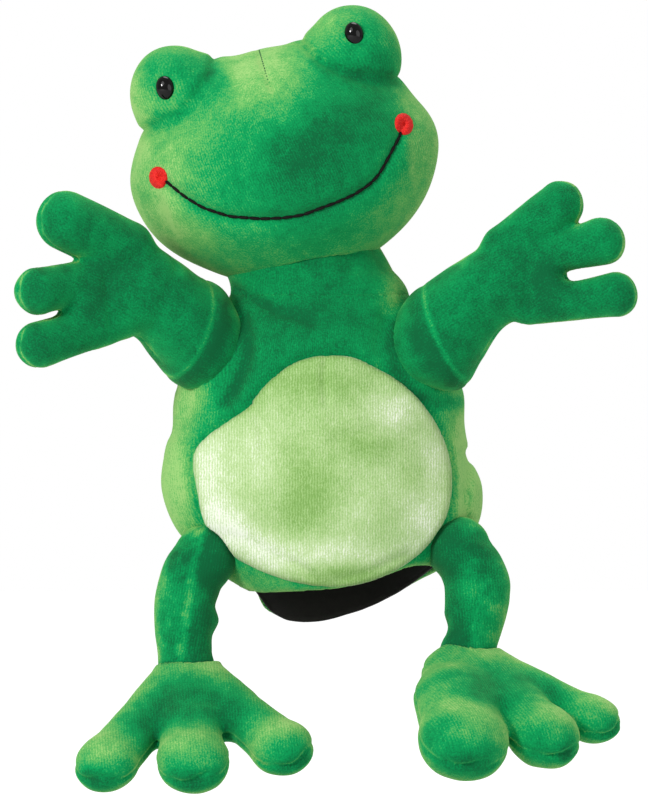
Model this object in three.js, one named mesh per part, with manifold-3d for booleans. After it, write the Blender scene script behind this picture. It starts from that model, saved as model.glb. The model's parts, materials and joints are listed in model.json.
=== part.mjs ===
// Frog hand puppet: a plush glove with a lined body, sleeved arms, a stuffed head and dangling legs.
// The frog faces -Y, +Z is up, and its own right side lies at -X. Lengths are millimetres, angles degrees.
// The origin is the middle of the hand opening.

import * as THREE from 'three';
import { mergeVertices } from 'three/addons/utils/BufferGeometryUtils.js';
import Module from 'manifold-3d';

const wasm = await Module();
wasm.setup();

// Cloth and clearances
const plushThickness = 2.2;
const liningThickness = 0.9;
const clearance = 0.3;
const sphereClearance = 0.5;
const facetAllowance = 0.6;
const threadHeight = 1.3;
const cutterExtra = 5;
const digitRootDome = 0.6;
const cutterReach = 100;

// Glove: half widths and half depths of its oval sections, bottom to top
const openingHalfWidth = 36.5;
const openingHalfDepth = 29;
const hipHalfWidth = 58;
const bellyHalfWidth = 64.8;
const bellyHalfDepth = 38;
const chestHalfWidth = 58;
const chestHalfDepth = 36;
const shoulderHalfWidth = 47;
const shoulderHalfDepth = 33;
const neckHalfWidth = 34;
const neckHalfDepth = 25;

// Glove: heights of those sections over the hand opening, and how far each leans to the frog's right
const hipHeight = 28;
const bellyHeight = 47;
const chestHeight = 82;
const shoulderHeight = 105;
const neckHeight = 123;
const bellyLean = 5.4;
const neckLean = 5.4;
const openingTilt = 14.5;
const openingRoll = 4;
const hemRise = 8.5;
const hemLowPoint = 12;
const cuffLength = 18;

// Belly patch
const patchHalfWidth = 51;
const patchHalfHeight = 46;
const patchHeight = 53;
const patchThickness = 2;

// Neck joint: the head turns about a point just under the collar
const neckPivotHeight = 113.5;
const neckPivotLean = 6.5;
const neckBallRadius = 33;
const headTilt = 12.3;
const collarThickness = 2;
const collarHeight = 24;
const collarTaper = 1.6;
const collarLean = 8;

// Head, in its own upright frame
const headHalfWidth = 62;
const headHalfHeight = 47;
const headHalfDepth = 43;
const headCentreHeight = 63.5;
const headBackFlatness = 0.96;
const muzzleSwell = 0.06;
const muzzleDrop = 0.25;
const muzzleSpread = 0.71;
const pocketRadius = 12;
const pocketReach = 52;
const pocketWall = 1.2;
const sideSeamDepth = 8;

// Eye turrets and eyes
const turretSpacing = 36;
const turretHalfWidth = 19.5;
const turretHalfDepth = 18.5;
const turretHalfHeight = 21;
const turretHeight = 98.5;
const turretForward = 10;
const eyeHalfWidth = 3.8;
const eyeHalfHeight = 5;
const eyeBulge = 3.2;
const eyeShankRadius = 1.6;
const eyeShankLength = 9;
const eyeShankRoot = 1;
const washerRadius = 5.5;
const washerThickness = 1.4;
const rightEyeSeat = { outset: 4.6, rise: 4.3 };
const leftEyeSeat = { outset: 2.3, rise: 9.8 };

// Mouth thread and cheek dots
const mouthHalfWidth = 50;
const mouthCornerHeight = 68.3;
const mouthDrop = 26.5;
const mouthFlatness = 2.4;
const mouthThreadWidth = 1.6;
const dotHalfWidth = 3.6;
const dotHalfHeight = 4.4;

// Arms: a sleeve from the shoulder to the palm and three fingers. Reach is measured along the arm and rise
// towards its upper edge.
const armBallRadius = 23;
const armOutset = 5;
const gussetDepth = 16;
const sleeveStart = 12;
const palmDome = 7;
const stuffingReach = 45;
const fingerFlatness = 0.92;
const rightArmSeat = {
  height: 104.7, azimuth: 158, elevation: 24.8, forward: 31,
  sleeve: [
    { reach: sleeveStart, rise: 3.6, halfWidth: 19.4, halfDepth: 19 },
    { reach: 25, rise: 6.6, halfWidth: 18.2, halfDepth: 16 },
    { reach: 38, rise: 5.4, halfWidth: 19.4, halfDepth: 13 },
    { reach: 54, rise: -1, halfWidth: 20.5, halfDepth: 9.5 },
  ],
  fingers: [
    { root: [19.5, 44], tip: [18.5, 73], rootRadius: 9, tipRadius: 12 },
    { root: [8, 46], tip: [-12.6, 73.5], rootRadius: 8, tipRadius: 10 },
    { root: [-7, 36], tip: [-31.5, 64.5], rootRadius: 8, tipRadius: 9.6 },
  ],
};
const leftArmSeat = {
  height: 103.8, azimuth: 27, elevation: 29.5, forward: 18.5,
  sleeve: [
    { reach: sleeveStart, rise: 3.6, halfWidth: 18.6, halfDepth: 18.6 },
    { reach: 25, rise: 7, halfWidth: 16.4, halfDepth: 15.6 },
    { reach: 38, rise: 7.4, halfWidth: 17.2, halfDepth: 12.6 },
    { reach: 54, rise: 3, halfWidth: 19, halfDepth: 9.5 },
  ],
  fingers: [
    { root: [20.5, 44], tip: [22.4, 70.5], rootRadius: 8, tipRadius: 9 },
    { root: [10, 48], tip: [1, 78.4], rootRadius: 8, tipRadius: 10 },
    { root: [-8, 41], tip: [-20, 73.3], rootRadius: 8, tipRadius: 9.4 },
  ],
};

// Legs: tapering tubes that bow outwards, with a ball at the hip and at the ankle
const hipBallRadius = 16.8;
const legTopRadius = 13.2;
const legMiddleRadius = 12;
const ankleRadius = 11;
const legTopShare = 0.27;
const legMiddleShare = 0.65;
const legTopBow = 0.8;
const hipOutset = 3;
const rightLegSeat = { height: 19, azimuth: 155, ankle: [-58.5, -25, -26.5], bow: 3.2 };
const leftLegSeat = { height: 22, azimuth: 25, ankle: [53, -25, -21], bow: 4.4 };

// Feet: an instep and three webbed toes. Reach is measured along the foot, fan and shift towards the
// frog's left.
const instepStart = 3;
const instepDome = 7;
const toeFlatness = 0.88;
const footFlex = 15;
const rightFootPose = {
  droop: 35.5, turn: -4.4, roll: -7.7,
  instep: [
    { reach: instepStart, shift: 0, halfWidth: 13, halfDepth: 9.5 },
    { reach: 20, shift: 0, halfWidth: 17.5, halfDepth: 10.5 },
    { reach: 38, shift: 1, halfWidth: 20, halfDepth: 8.6 },
  ],
  toes: [
    { fan: -32, reach: 66.5, rootRadius: 10.4, tipRadius: 12.2 },
    { fan: -1, reach: 60, rootRadius: 10.5, tipRadius: 14.2 },
    { fan: 32, reach: 65.5, rootRadius: 10.4, tipRadius: 12.4 },
  ],
};
const leftFootPose = {
  droop: 33, turn: 31, roll: 9,
  instep: [
    { reach: instepStart, shift: -2, halfWidth: 14.5, halfDepth: 9.5 },
    { reach: 20, shift: -6.5, halfWidth: 21, halfDepth: 10.5 },
    { reach: 38, shift: -6, halfWidth: 23, halfDepth: 8.6 },
  ],
  toes: [
    { fan: -34, reach: 63, rootRadius: 13.5, tipRadius: 15.4 },
    { fan: 6, reach: 58, rootRadius: 10.5, tipRadius: 14.2 },
    { fan: 33, reach: 60, rootRadius: 9.4, tipRadius: 11 },
  ],
};

// Facet counts of the round forms
const bodySides = 18;
const headSides = 18;
const limbSides = 12;
const digitSides = 8;
const turretSides = 14;
const eyeSides = 18;
const shankSides = 12;
const washerSides = 20;
const ballSides = 14;
const domeAngles = [38, 66];
const innerDomeAngles = [50];

// Colours and finishes
const plushGreen = { color: 0x0a8a4b, roughness: 0.95, metalness: 0 };
const plushPale = { color: 0xaec98c, roughness: 0.95, metalness: 0 };
const blackCloth = { color: 0x1b1a14, roughness: 0.9, metalness: 0 };
const blackThread = { color: 0x12110f, roughness: 0.8, metalness: 0 };
const redThread = { color: 0xd6423d, roughness: 0.7, metalness: 0 };
const blackPlastic = { color: 0x060606, roughness: 0.08, metalness: 0 };
const whitePlastic = { color: 0xe8e8e4, roughness: 0.4, metalness: 0 };
const whiteFibre = { color: 0xf2f0ea, roughness: 1, metalness: 0 };

const radians = THREE.MathUtils.degToRad;
const front = new THREE.Vector3(0, -1, 0);
const up = new THREE.Vector3(0, 0, 1);
const farAway = 400;

// Solids

function toSolid(geometry) {
  const bare = geometry.clone();
  bare.deleteAttribute('normal');
  bare.deleteAttribute('uv');
  const merged = mergeVertices(bare, 1e-4);
  return new wasm.Manifold(new wasm.Mesh({
    numProp: 3,
    vertProperties: new Float32Array(merged.attributes.position.array),
    triVerts: new Uint32Array(merged.index.array),
  }));
}

function toGeometry(solid) {
  const mesh = solid.getMesh();
  const geometry = new THREE.BufferGeometry();
  const points = new THREE.Float32BufferAttribute(mesh.vertProperties, 3);
  geometry.setAttribute('position', points);
  geometry.setIndex(new THREE.BufferAttribute(mesh.triVerts, 1));
  return geometry;
}

// A closed skin through rings of points, each ring with the same count, capped at both ends
function skinOfRings(rings, startPoint, endPoint) {
  const sides = rings[0].length;
  const points = [startPoint, ...rings.flat(), endPoint];
  const index = [];
  const last = points.length - 1;
  for (let k = 0; k < sides; k += 1) {
    const next = (k + 1) % sides;
    index.push(0, 1 + next, 1 + k);
    const lastRing = 1 + (rings.length - 1) * sides;
    index.push(last, lastRing + k, lastRing + next);
    for (let r = 0; r < rings.length - 1; r += 1) {
      const low = 1 + r * sides;
      const high = low + sides;
      index.push(low + k, low + next, high + next);
      index.push(low + k, high + next, high + k);
    }
  }
  const geometry = new THREE.BufferGeometry().setFromPoints(points);
  geometry.setIndex(index);
  return geometry;
}

// A soft form along +Z. Each station is [z, centre x, centre y, half width, half depth]; the sections
// between them follow a smooth curve. An end is rounded by a dome of the given height, or cut flat and
// pushed out by the given length. An inset draws the whole surface in.
function softForm(stations, options) {
  const { sides, rings, startDome = 0, endDome = 0, startExtra = 0, endExtra = 0, inset = 0 } = options;
  const heights = stations.map((station) => station[0]);
  const curve = new THREE.CubicInterpolant(heights, stations.flatMap((station) => station.slice(1)), 4);
  const first = heights[0];
  const last = heights[heights.length - 1];
  const section = (z, at, shrink) => {
    const [x, y, halfWidth, halfDepth] = curve.evaluate(at);
    const ring = [];
    for (let k = 0; k < sides; k += 1) {
      const angle = (2 * Math.PI * k) / sides;
      ring.push(new THREE.Vector3(
        x + (halfWidth - inset) * shrink * Math.cos(angle),
        y + (halfDepth - inset) * shrink * Math.sin(angle),
        z,
      ));
    }
    return ring;
  };
  const middleOf = (at, z) => {
    const [x, y] = curve.evaluate(at);
    return new THREE.Vector3(x, y, z);
  };
  const outline = [];
  const angles = inset > 0 ? innerDomeAngles : domeAngles;
  if (startDome > inset) {
    for (const angle of [...angles].reverse()) {
      const drop = (startDome - inset) * Math.sin(radians(angle));
      outline.push(section(first - drop, first, Math.cos(radians(angle))));
    }
  }
  if (startExtra > 0) outline.push(section(first - startExtra, first, 1));
  for (let r = 0; r < rings; r += 1) {
    const z = first + ((last - first) * r) / (rings - 1);
    outline.push(section(z, z, 1));
  }
  if (endExtra > 0) outline.push(section(last + endExtra, last, 1));
  if (endDome > inset) {
    for (const angle of angles) {
      const rise = (endDome - inset) * Math.sin(radians(angle));
      outline.push(section(last + rise, last, Math.cos(radians(angle))));
    }
  }
  const bottom = middleOf(first, first - Math.max(startDome - inset, 0) - startExtra);
  const top = middleOf(last, last + Math.max(endDome - inset, 0) + endExtra);
  return skinOfRings(outline, bottom, top);
}

// An oval ball with the given half sizes about a centre; sculpt may move its points on the unit sphere
function ovoid(halves, centre, inset, sides, sculpt) {
  const ball = new THREE.SphereGeometry(1, sides, Math.round(sides / 2));
  ball.rotateX(Math.PI / 2);
  const points = ball.attributes.position;
  const point = new THREE.Vector3();
  for (let i = 0; i < points.count; i += 1) {
    point.fromBufferAttribute(points, i);
    if (sculpt) sculpt(point);
    point.multiply(new THREE.Vector3(halves.x - inset, halves.y - inset, halves.z - inset));
    point.add(centre);
    points.setXYZ(i, point.x, point.y, point.z);
  }
  return ball;
}

// A faceted ball whose flats, not its corners, lie at the radius, for cutting room to turn
function ballAt(centre, radius, sides = ballSides) {
  const reach = radius / Math.cos(Math.PI / sides) ** 2;
  return ovoid(new THREE.Vector3(reach, reach, reach), centre, 0, sides);
}

// A box that fills one side of the plane through a point, on the side the normal points to
function halfSpace(point, normal) {
  const box = new THREE.BoxGeometry(farAway, farAway, farAway);
  box.translate(0, 0, farAway / 2);
  box.applyQuaternion(new THREE.Quaternion().setFromUnitVectors(up, normal.clone().normalize()));
  box.translate(point.x, point.y, point.z);
  return box;
}

// A flat outline in the XZ plane, pushed from the front surface to the middle of the form
function stencil(shape, low, high) {
  const depth = high - low;
  const geometry = new THREE.ExtrudeGeometry(shape, { depth, bevelEnabled: false, curveSegments: 8 });
  geometry.rotateX(Math.PI / 2);
  geometry.translate(0, high, 0);
  return geometry;
}

function ellipseShape(x, z, halfWidth, halfHeight) {
  const shape = new THREE.Shape();
  shape.absellipse(x, z, halfWidth, halfHeight, 0, 2 * Math.PI, false, 0);
  return shape;
}

function cut(solid, ...cutters) {
  return cutters.reduce((left, cutter) => left.subtract(toSolid(cutter)), solid);
}

function keep(solid, ...keepers) {
  return keepers.reduce((left, keeper) => left.intersect(toSolid(keeper)), solid);
}

function joined(geometries) {
  return geometries.map(toSolid).reduce((left, right) => left.add(right));
}

// Parts placed in a group

function addMesh(group, name, solidOrGeometry, finish) {
  const geometry = solidOrGeometry.isBufferGeometry ? solidOrGeometry : toGeometry(solidOrGeometry);
  const mesh = new THREE.Mesh(geometry, new THREE.MeshStandardMaterial(finish));
  mesh.name = name;
  group.add(mesh);
}

// A form of the glove seen from inside a turned group
function seenFrom(group, geometry) {
  return geometry.clone().applyMatrix4(group.matrixWorld.clone().invert());
}

function groupAt(parent, position, axes) {
  const group = new THREE.Group();
  group.position.copy(position);
  if (axes) group.quaternion.setFromRotationMatrix(axes);
  parent.add(group);
  group.updateWorldMatrix(true, false);
  return group;
}

// Axes with +Z along a direction and +X as near as it can be to a second direction
function axesAlong(along, nearlyX) {
  const z = along.clone().normalize();
  const x = nearlyX.clone().addScaledVector(z, -nearlyX.dot(z)).normalize();
  const y = new THREE.Vector3().crossVectors(z, x);
  return new THREE.Matrix4().makeBasis(x, y, z);
}

// The glove's form

const gloveStations = [
  [-cuffLength, 0, 0, openingHalfWidth - 4, openingHalfDepth - 3],
  [0, 0, 0, openingHalfWidth, openingHalfDepth],
  [hipHeight, -bellyLean / 2, 0, hipHalfWidth, bellyHalfDepth - 2],
  [bellyHeight, -bellyLean, 0, bellyHalfWidth, bellyHalfDepth],
  [chestHeight, -bellyLean, 0, chestHalfWidth, chestHalfDepth],
  [shoulderHeight, -neckPivotLean, 0, shoulderHalfWidth, shoulderHalfDepth],
  [neckHeight, -neckLean, 0, neckHalfWidth, neckHalfDepth],
  [neckHeight + 10, -neckLean, 0, neckHalfWidth - 2, neckHalfDepth - 1],
];

function gloveForm(inset, extra = 0) {
  return softForm(gloveStations, {
    sides: bodySides, rings: 9, inset, startExtra: extra, endExtra: extra,
  });
}

// The point of the glove's surface at a height, at an azimuth from the frog's left round its front
function glovePoint(height, azimuth, inset = 0) {
  const heights = gloveStations.map((station) => station[0]);
  const sections = gloveStations.flatMap((station) => station.slice(1));
  const [x, y, halfWidth, halfDepth] = new THREE.CubicInterpolant(heights, sections, 4).evaluate(height);
  return new THREE.Vector3(
    x + (halfWidth - inset) * Math.cos(radians(azimuth)),
    y - (halfDepth - inset) * Math.sin(radians(azimuth)),
    height,
  );
}

// The hem is lowest towards the frog's right, rises to its left and is tilted up at the front
function hemHeight(x) {
  const near = THREE.MathUtils.clamp(x, -openingHalfWidth, openingHalfWidth);
  return hemRise * ((near + hemLowPoint) / openingHalfWidth) ** 2 + near * Math.tan(radians(openingRoll));
}

function belowHem() {
  const steps = 16;
  const shape = new THREE.Shape().moveTo(-cutterReach, -cutterReach);
  for (let i = 0; i <= steps; i += 1) {
    const x = openingHalfWidth * ((2 * i) / steps - 1);
    shape.lineTo(i === 0 ? -cutterReach : x, hemHeight(x));
  }
  shape.lineTo(cutterReach, hemHeight(cutterReach));
  shape.lineTo(cutterReach, -cutterReach);
  return stencil(shape, -cutterReach, cutterReach).rotateX(-radians(openingTilt));
}

const belowOpening = belowHem();
const aboveNeck = halfSpace(new THREE.Vector3(0, 0, neckHeight), up);

// Placement of the jointed groups

const frog = new THREE.Group();
const neckPivot = new THREE.Vector3(-neckPivotLean, 0, neckPivotHeight);
const headAxes = new THREE.Matrix4().makeRotationY(radians(-headTilt));
const head = groupAt(frog, neckPivot, headAxes);

function armDirection(side, seat) {
  const flat = Math.cos(radians(seat.elevation));
  return new THREE.Vector3(
    side * flat * Math.cos(radians(seat.forward)),
    -flat * Math.sin(radians(seat.forward)),
    Math.sin(radians(seat.elevation)),
  );
}

function footAxes(side, pose) {
  const along = new THREE.Vector3(
    side * Math.sin(radians(pose.turn)) * Math.cos(radians(pose.droop)),
    -Math.cos(radians(pose.turn)) * Math.cos(radians(pose.droop)),
    -Math.sin(radians(pose.droop)),
  );
  const across = new THREE.Vector3(
    Math.cos(radians(pose.turn)), side * Math.sin(radians(pose.turn)), Math.sin(radians(side * pose.roll)),
  );
  return axesAlong(along, across);
}

const limbs = [
  { name: 'right', side: -1, eye: rightEyeSeat, arm: rightArmSeat, leg: rightLegSeat, foot: rightFootPose },
  { name: 'left', side: 1, eye: leftEyeSeat, arm: leftArmSeat, leg: leftLegSeat, foot: leftFootPose },
].map((limb) => {
  const shoulder = glovePoint(limb.arm.height, limb.arm.azimuth, -armOutset);
  const hip = glovePoint(limb.leg.height, limb.leg.azimuth, -hipOutset);
  const ankle = new THREE.Vector3(...limb.leg.ankle);
  return {
    ...limb,
    shoulder,
    hip,
    ankle,
    armGroup: groupAt(frog, shoulder, axesAlong(armDirection(limb.side, limb.arm), up)),
    legGroup: groupAt(frog, hip, axesAlong(ankle.clone().sub(hip), new THREE.Vector3(1, 0, 0))),
    footGroup: groupAt(frog, ankle, footAxes(limb.side, limb.foot)),
  };
});

// Glove body: front and back plush panels, their lining, and the belly patch

function buildGlove() {
  const holes = limbs.flatMap((limb) => [
    ballAt(limb.shoulder, armBallRadius + sphereClearance),
    ballAt(limb.hip, hipBallRadius + sphereClearance),
  ]);
  const trimmed = (outer, inner) => cut(
    toSolid(gloveForm(outer)), gloveForm(inner, cuffLength), belowOpening, aboveNeck, ...holes,
  );
  const plush = trimmed(0, plushThickness);
  const liningFace = plushThickness + clearance;
  const lining = trimmed(liningFace, liningFace + liningThickness);
  const seam = clearance / 2;
  const halves = [
    ['front', halfSpace(new THREE.Vector3(0, -seam, 0), front)],
    ['back', halfSpace(new THREE.Vector3(0, seam, 0), front.clone().negate())],
  ];
  for (const [half, region] of halves) {
    addMesh(frog, `body_${half}`, keep(plush, region), plushGreen);
    addMesh(frog, `lining_${half}`, keep(lining, region), blackCloth);
  }
  const patchOutline = ellipseShape(-bellyLean, patchHeight, patchHalfWidth, patchHalfHeight);
  const patchFace = toSolid(gloveForm(-patchThickness - clearance));
  const patch = cut(patchFace, gloveForm(-clearance, cuffLength), ...holes);
  addMesh(frog, 'belly_patch', keep(patch, stencil(patchOutline, -farAway, -1)), plushPale);
}

// Head: face, chin and back panels over a stuffed core with a finger pocket

function headSculpt(point) {
  const fade = Math.min(1, Math.abs(point.z + muzzleDrop) / muzzleSpread);
  point.y *= point.y < 0 ? 1 + muzzleSwell * (1 - fade) : headBackFlatness;
}

function headForm(inset, sides = headSides) {
  const halves = new THREE.Vector3(headHalfWidth, headHalfDepth, headHalfHeight);
  return ovoid(halves, new THREE.Vector3(0, 0, headCentreHeight), inset, sides, headSculpt);
}

// Height of the mouth seam at a distance from the middle of the face: a hanging curve
function mouthHeight(x) {
  const share = Math.min(1, Math.abs(x) / mouthHalfWidth);
  return mouthCornerHeight - mouthDrop * (1 - share ** mouthFlatness);
}

function mouthBand(halfHeight, reach, topHeight) {
  const steps = 12;
  const shape = new THREE.Shape();
  for (let i = 0; i <= steps; i += 1) {
    const x = reach * ((2 * i) / steps - 1);
    const z = mouthHeight(x) - halfHeight;
    if (i === 0) shape.moveTo(x, z);
    else shape.lineTo(x, z);
  }
  for (let i = steps; i >= 0; i -= 1) {
    const x = reach * ((2 * i) / steps - 1);
    shape.lineTo(x, topHeight === undefined ? mouthHeight(x) + halfHeight : topHeight);
  }
  return shape;
}

const turretHalves = new THREE.Vector3(turretHalfWidth, turretHalfDepth, turretHalfHeight);

function turretCentre(side) {
  return new THREE.Vector3(side * turretSpacing, -turretForward, turretHeight);
}

function turretForm(side, inset) {
  return ovoid(turretHalves, turretCentre(side), inset, turretSides);
}

// The place of an eye on its turret: +Y runs into the turret, straight down from its surface
function eyePlace(side, seat) {
  const point = new THREE.Vector3(side * seat.outset, 0, seat.rise);
  point.y = -turretHalfDepth * Math.sqrt(1 - point.clone().divide(turretHalves).lengthSq());
  const outward = point.clone().divide(turretHalves).divide(turretHalves).normalize();
  const turn = new THREE.Quaternion().setFromUnitVectors(front, outward);
  return new THREE.Matrix4().makeRotationFromQuaternion(turn).setPosition(point.add(turretCentre(side)));
}

function buildHead() {
  const origin = new THREE.Vector3();
  const neckBall = ballAt(origin, neckBallRadius + sphereClearance, headSides);
  const skin = cut(toSolid(headForm(0)), headForm(plushThickness), neckBall);
  const seam = clearance / 2;
  const faceSide = halfSpace(new THREE.Vector3(0, sideSeamDepth - seam, 0), front);
  const backSide = halfSpace(new THREE.Vector3(0, sideSeamDepth + seam, 0), front.clone().negate());
  const overMouth = stencil(mouthBand(-seam, cutterReach, farAway), -farAway, farAway);
  const underMouth = stencil(mouthBand(seam, cutterReach, farAway), -farAway, farAway);
  addMesh(head, 'face_panel', keep(skin, faceSide, overMouth), plushGreen);
  addMesh(head, 'chin_panel', cut(keep(skin, faceSide), underMouth), plushGreen);
  addMesh(head, 'head_back', keep(skin, backSide), plushGreen);

  const pocket = (radius, lengthen, low) => softForm(
    [[low, 0, 0, radius, radius], [pocketReach, 0, 0, radius, radius]],
    { sides: 12, rings: 2, endDome: 8 + lengthen },
  );
  const pocketFloor = neckBallRadius + 2 * sphereClearance;
  const stuffing = cut(
    toSolid(headForm(plushThickness + clearance)), neckBall, pocket(pocketRadius + clearance, clearance, 0),
  );
  addMesh(head, 'head_stuffing', stuffing, whiteFibre);
  const tube = cut(
    toSolid(pocket(pocketRadius, 0, pocketFloor)), pocket(pocketRadius - pocketWall, -pocketWall, 0),
  );
  addMesh(head, 'head_finger_pocket', tube, blackCloth);

  const thread = cut(toSolid(headForm(-threadHeight - clearance)), headForm(-clearance));
  const mouth = mouthBand(mouthThreadWidth / 2, mouthHalfWidth - dotHalfWidth - clearance);
  addMesh(head, 'mouth_thread', keep(thread, stencil(mouth, -farAway, 0)), blackThread);

  for (const { name, side, eye } of limbs) {
    const dot = ellipseShape(side * mouthHalfWidth, mouthCornerHeight, dotHalfWidth, dotHalfHeight);
    addMesh(head, `${name}_cheek_dot`, keep(thread, stencil(dot, -farAway, 0)), redThread);
    buildTurret(name, side, eye);
  }
}

function buildTurret(name, side, seat) {
  const place = eyePlace(side, seat);
  const along = (radius, length, sides, start) => {
    const rod = new THREE.CylinderGeometry(radius, radius, length, sides);
    return rod.translate(0, start + length / 2, 0).applyMatrix4(place);
  };
  const skull = headForm(-clearance);
  const shankHole = along(eyeShankRadius + clearance, eyeShankLength + clearance, shankSides, -1);
  const cover = cut(toSolid(turretForm(side, 0)), turretForm(side, plushThickness), skull, shankHole);
  addMesh(head, `${name}_turret_cover`, cover, plushGreen);

  const insideRadius = turretHalfDepth - plushThickness;
  const coverCurve = insideRadius - Math.sqrt(insideRadius ** 2 - washerRadius ** 2);
  const washerFront = plushThickness + coverCurve + facetAllowance + clearance;
  const washer = cut(
    toSolid(along(washerRadius, washerThickness, washerSides, washerFront)), shankHole,
  );
  addMesh(head, `${name}_eye_washer`, washer, whitePlastic);

  const washerBack = washerFront + washerThickness + clearance;
  const washerRoom = along(washerRadius + clearance, cutterReach, washerSides, washerBack - cutterReach);
  const shankRoom = along(eyeShankRadius + clearance, eyeShankLength + clearance, shankSides, 0);
  const stuffing = cut(toSolid(turretForm(side, plushThickness + clearance)), skull, washerRoom, shankRoom);
  addMesh(head, `${name}_turret_stuffing`, stuffing, whiteFibre);

  const dome = ovoid(
    new THREE.Vector3(eyeHalfWidth, eyeBulge, eyeHalfHeight), new THREE.Vector3(), 0, eyeSides,
  ).applyMatrix4(place);
  const flatBack = halfSpace(new THREE.Vector3(0, -clearance, 0), front).applyMatrix4(place);
  const shank = toSolid(along(eyeShankRadius, eyeShankLength, shankSides, -clearance - eyeShankRoot));
  const eye = keep(toSolid(dome), flatBack).add(shank);
  addMesh(head, `${name}_eye`, eye, blackPlastic);
}

// Collar: the band of cloth that joins the glove to the head and gives when the head moves

function buildCollar() {
  const station = (share, taper, inset) => [
    neckHeight + collarHeight * share, -neckLean - collarLean * share, 0,
    neckHalfWidth - taper - inset, neckHalfDepth - inset,
  ];
  const band = (inset, extra) => softForm([
    station(clearance / collarHeight, 0, inset),
    station(0.5, collarTaper, inset),
    station(1, 2 * collarTaper, inset),
  ], { sides: bodySides, rings: 3, startExtra: extra, endExtra: extra });
  const skull = headForm(-clearance).applyMatrix4(head.matrixWorld);
  const collar = cut(toSolid(band(0, 0)), band(collarThickness, cutterExtra), skull);
  addMesh(frog, 'neck_collar', collar, plushGreen);
}

// Arms

// A finger or toe: a stuffed tube from a root to a tip, both given as [across, along], that swells to its tip
function digit({ root, tip, rootRadius, tipRadius }, flatness, inset) {
  const across = tip[0] - root[0];
  const along = tip[1] - root[1];
  const stations = [
    [0, 0, 0, rootRadius, rootRadius * flatness],
    [Math.hypot(across, along), 0, 0, tipRadius, tipRadius * flatness],
  ];
  const startDome = rootRadius * digitRootDome;
  const shape = softForm(stations, { sides: digitSides, rings: 2, startDome, endDome: tipRadius, inset });
  return shape.rotateY(Math.atan2(across, along)).translate(root[0], 0, root[1]);
}

function armForm(seat, inset, rootExtra = 0) {
  const sleeve = softForm(
    seat.sleeve.map(({ reach, rise, halfWidth, halfDepth }) => [reach, rise, 0, halfWidth, halfDepth]),
    { sides: limbSides, rings: 5, startExtra: rootExtra, endDome: palmDome, inset },
  );
  return joined([sleeve, ...seat.fingers.map((finger) => digit(finger, fingerFlatness, inset))]);
}

function buildArm({ name, arm, armGroup }) {
  const skin = armForm(arm, 0).subtract(armForm(arm, plushThickness, sleeveStart));
  const seam = clearance / 2;
  const thickness = new THREE.Vector3(0, 1, 0);
  const facing = thickness.clone().transformDirection(armGroup.matrixWorld).y < 0 ? 1 : -1;
  for (const [half, sign] of [['front', 1], ['back', -1]]) {
    const outward = thickness.clone().multiplyScalar(sign * facing);
    const region = halfSpace(outward.clone().multiplyScalar(seam), outward);
    addMesh(armGroup, `${name}_arm_${half}`, keep(skin, region), plushGreen);
  }
  const beyondPocket = halfSpace(new THREE.Vector3(0, 0, stuffingReach), up);
  const stuffing = keep(armForm(arm, plushThickness + clearance), beyondPocket);
  addMesh(armGroup, `${name}_hand_stuffing`, stuffing, whiteFibre);

  const ballSection = (depth) => Math.sqrt(armBallRadius ** 2 - depth ** 2);
  const [cuff] = arm.sleeve;
  const ring = (inset, extra) => softForm([
    [-gussetDepth, 0, 0, ballSection(gussetDepth) - inset, ballSection(gussetDepth) - inset],
    [0, 0, 0, ballSection(0) - inset, ballSection(0) - inset],
    [cuff.reach - clearance, cuff.rise, 0, cuff.halfWidth - inset, cuff.halfDepth - inset],
  ], { sides: bodySides, rings: 4, startExtra: extra, endExtra: extra });
  const gusset = cut(toSolid(ring(0, 0)), ring(collarThickness, cutterExtra));
  addMesh(armGroup, `${name}_shoulder_gusset`, gusset, plushGreen);
}

// Legs and feet

function legForm(length, bow, inset) {
  return softForm([
    [0, 0, 0, hipBallRadius, hipBallRadius],
    [length * legTopShare, bow * legTopBow, 0, legTopRadius, legTopRadius],
    [length * legMiddleShare, bow, 0, legMiddleRadius, legMiddleRadius],
    [length, 0, 0, ankleRadius, ankleRadius],
  ], { sides: limbSides, rings: 5, startDome: hipBallRadius, endDome: ankleRadius, inset });
}

function footForm(pose, inset) {
  const instep = softForm(
    pose.instep.map(({ reach, shift, halfWidth, halfDepth }) => [reach, shift, 0, halfWidth, halfDepth]),
    { sides: limbSides, rings: 3, endDome: instepDome, inset },
  );
  const toes = pose.toes.map(({ fan, reach, rootRadius, tipRadius }) => {
    const across = Math.sin(radians(fan));
    const along = Math.cos(radians(fan));
    const root = [across * instepStart, along * instepStart];
    const tip = [across * reach, along * reach];
    return digit({ root, tip, rootRadius, tipRadius }, toeFlatness, inset);
  });
  return joined([instep, ...toes]);
}

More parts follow.
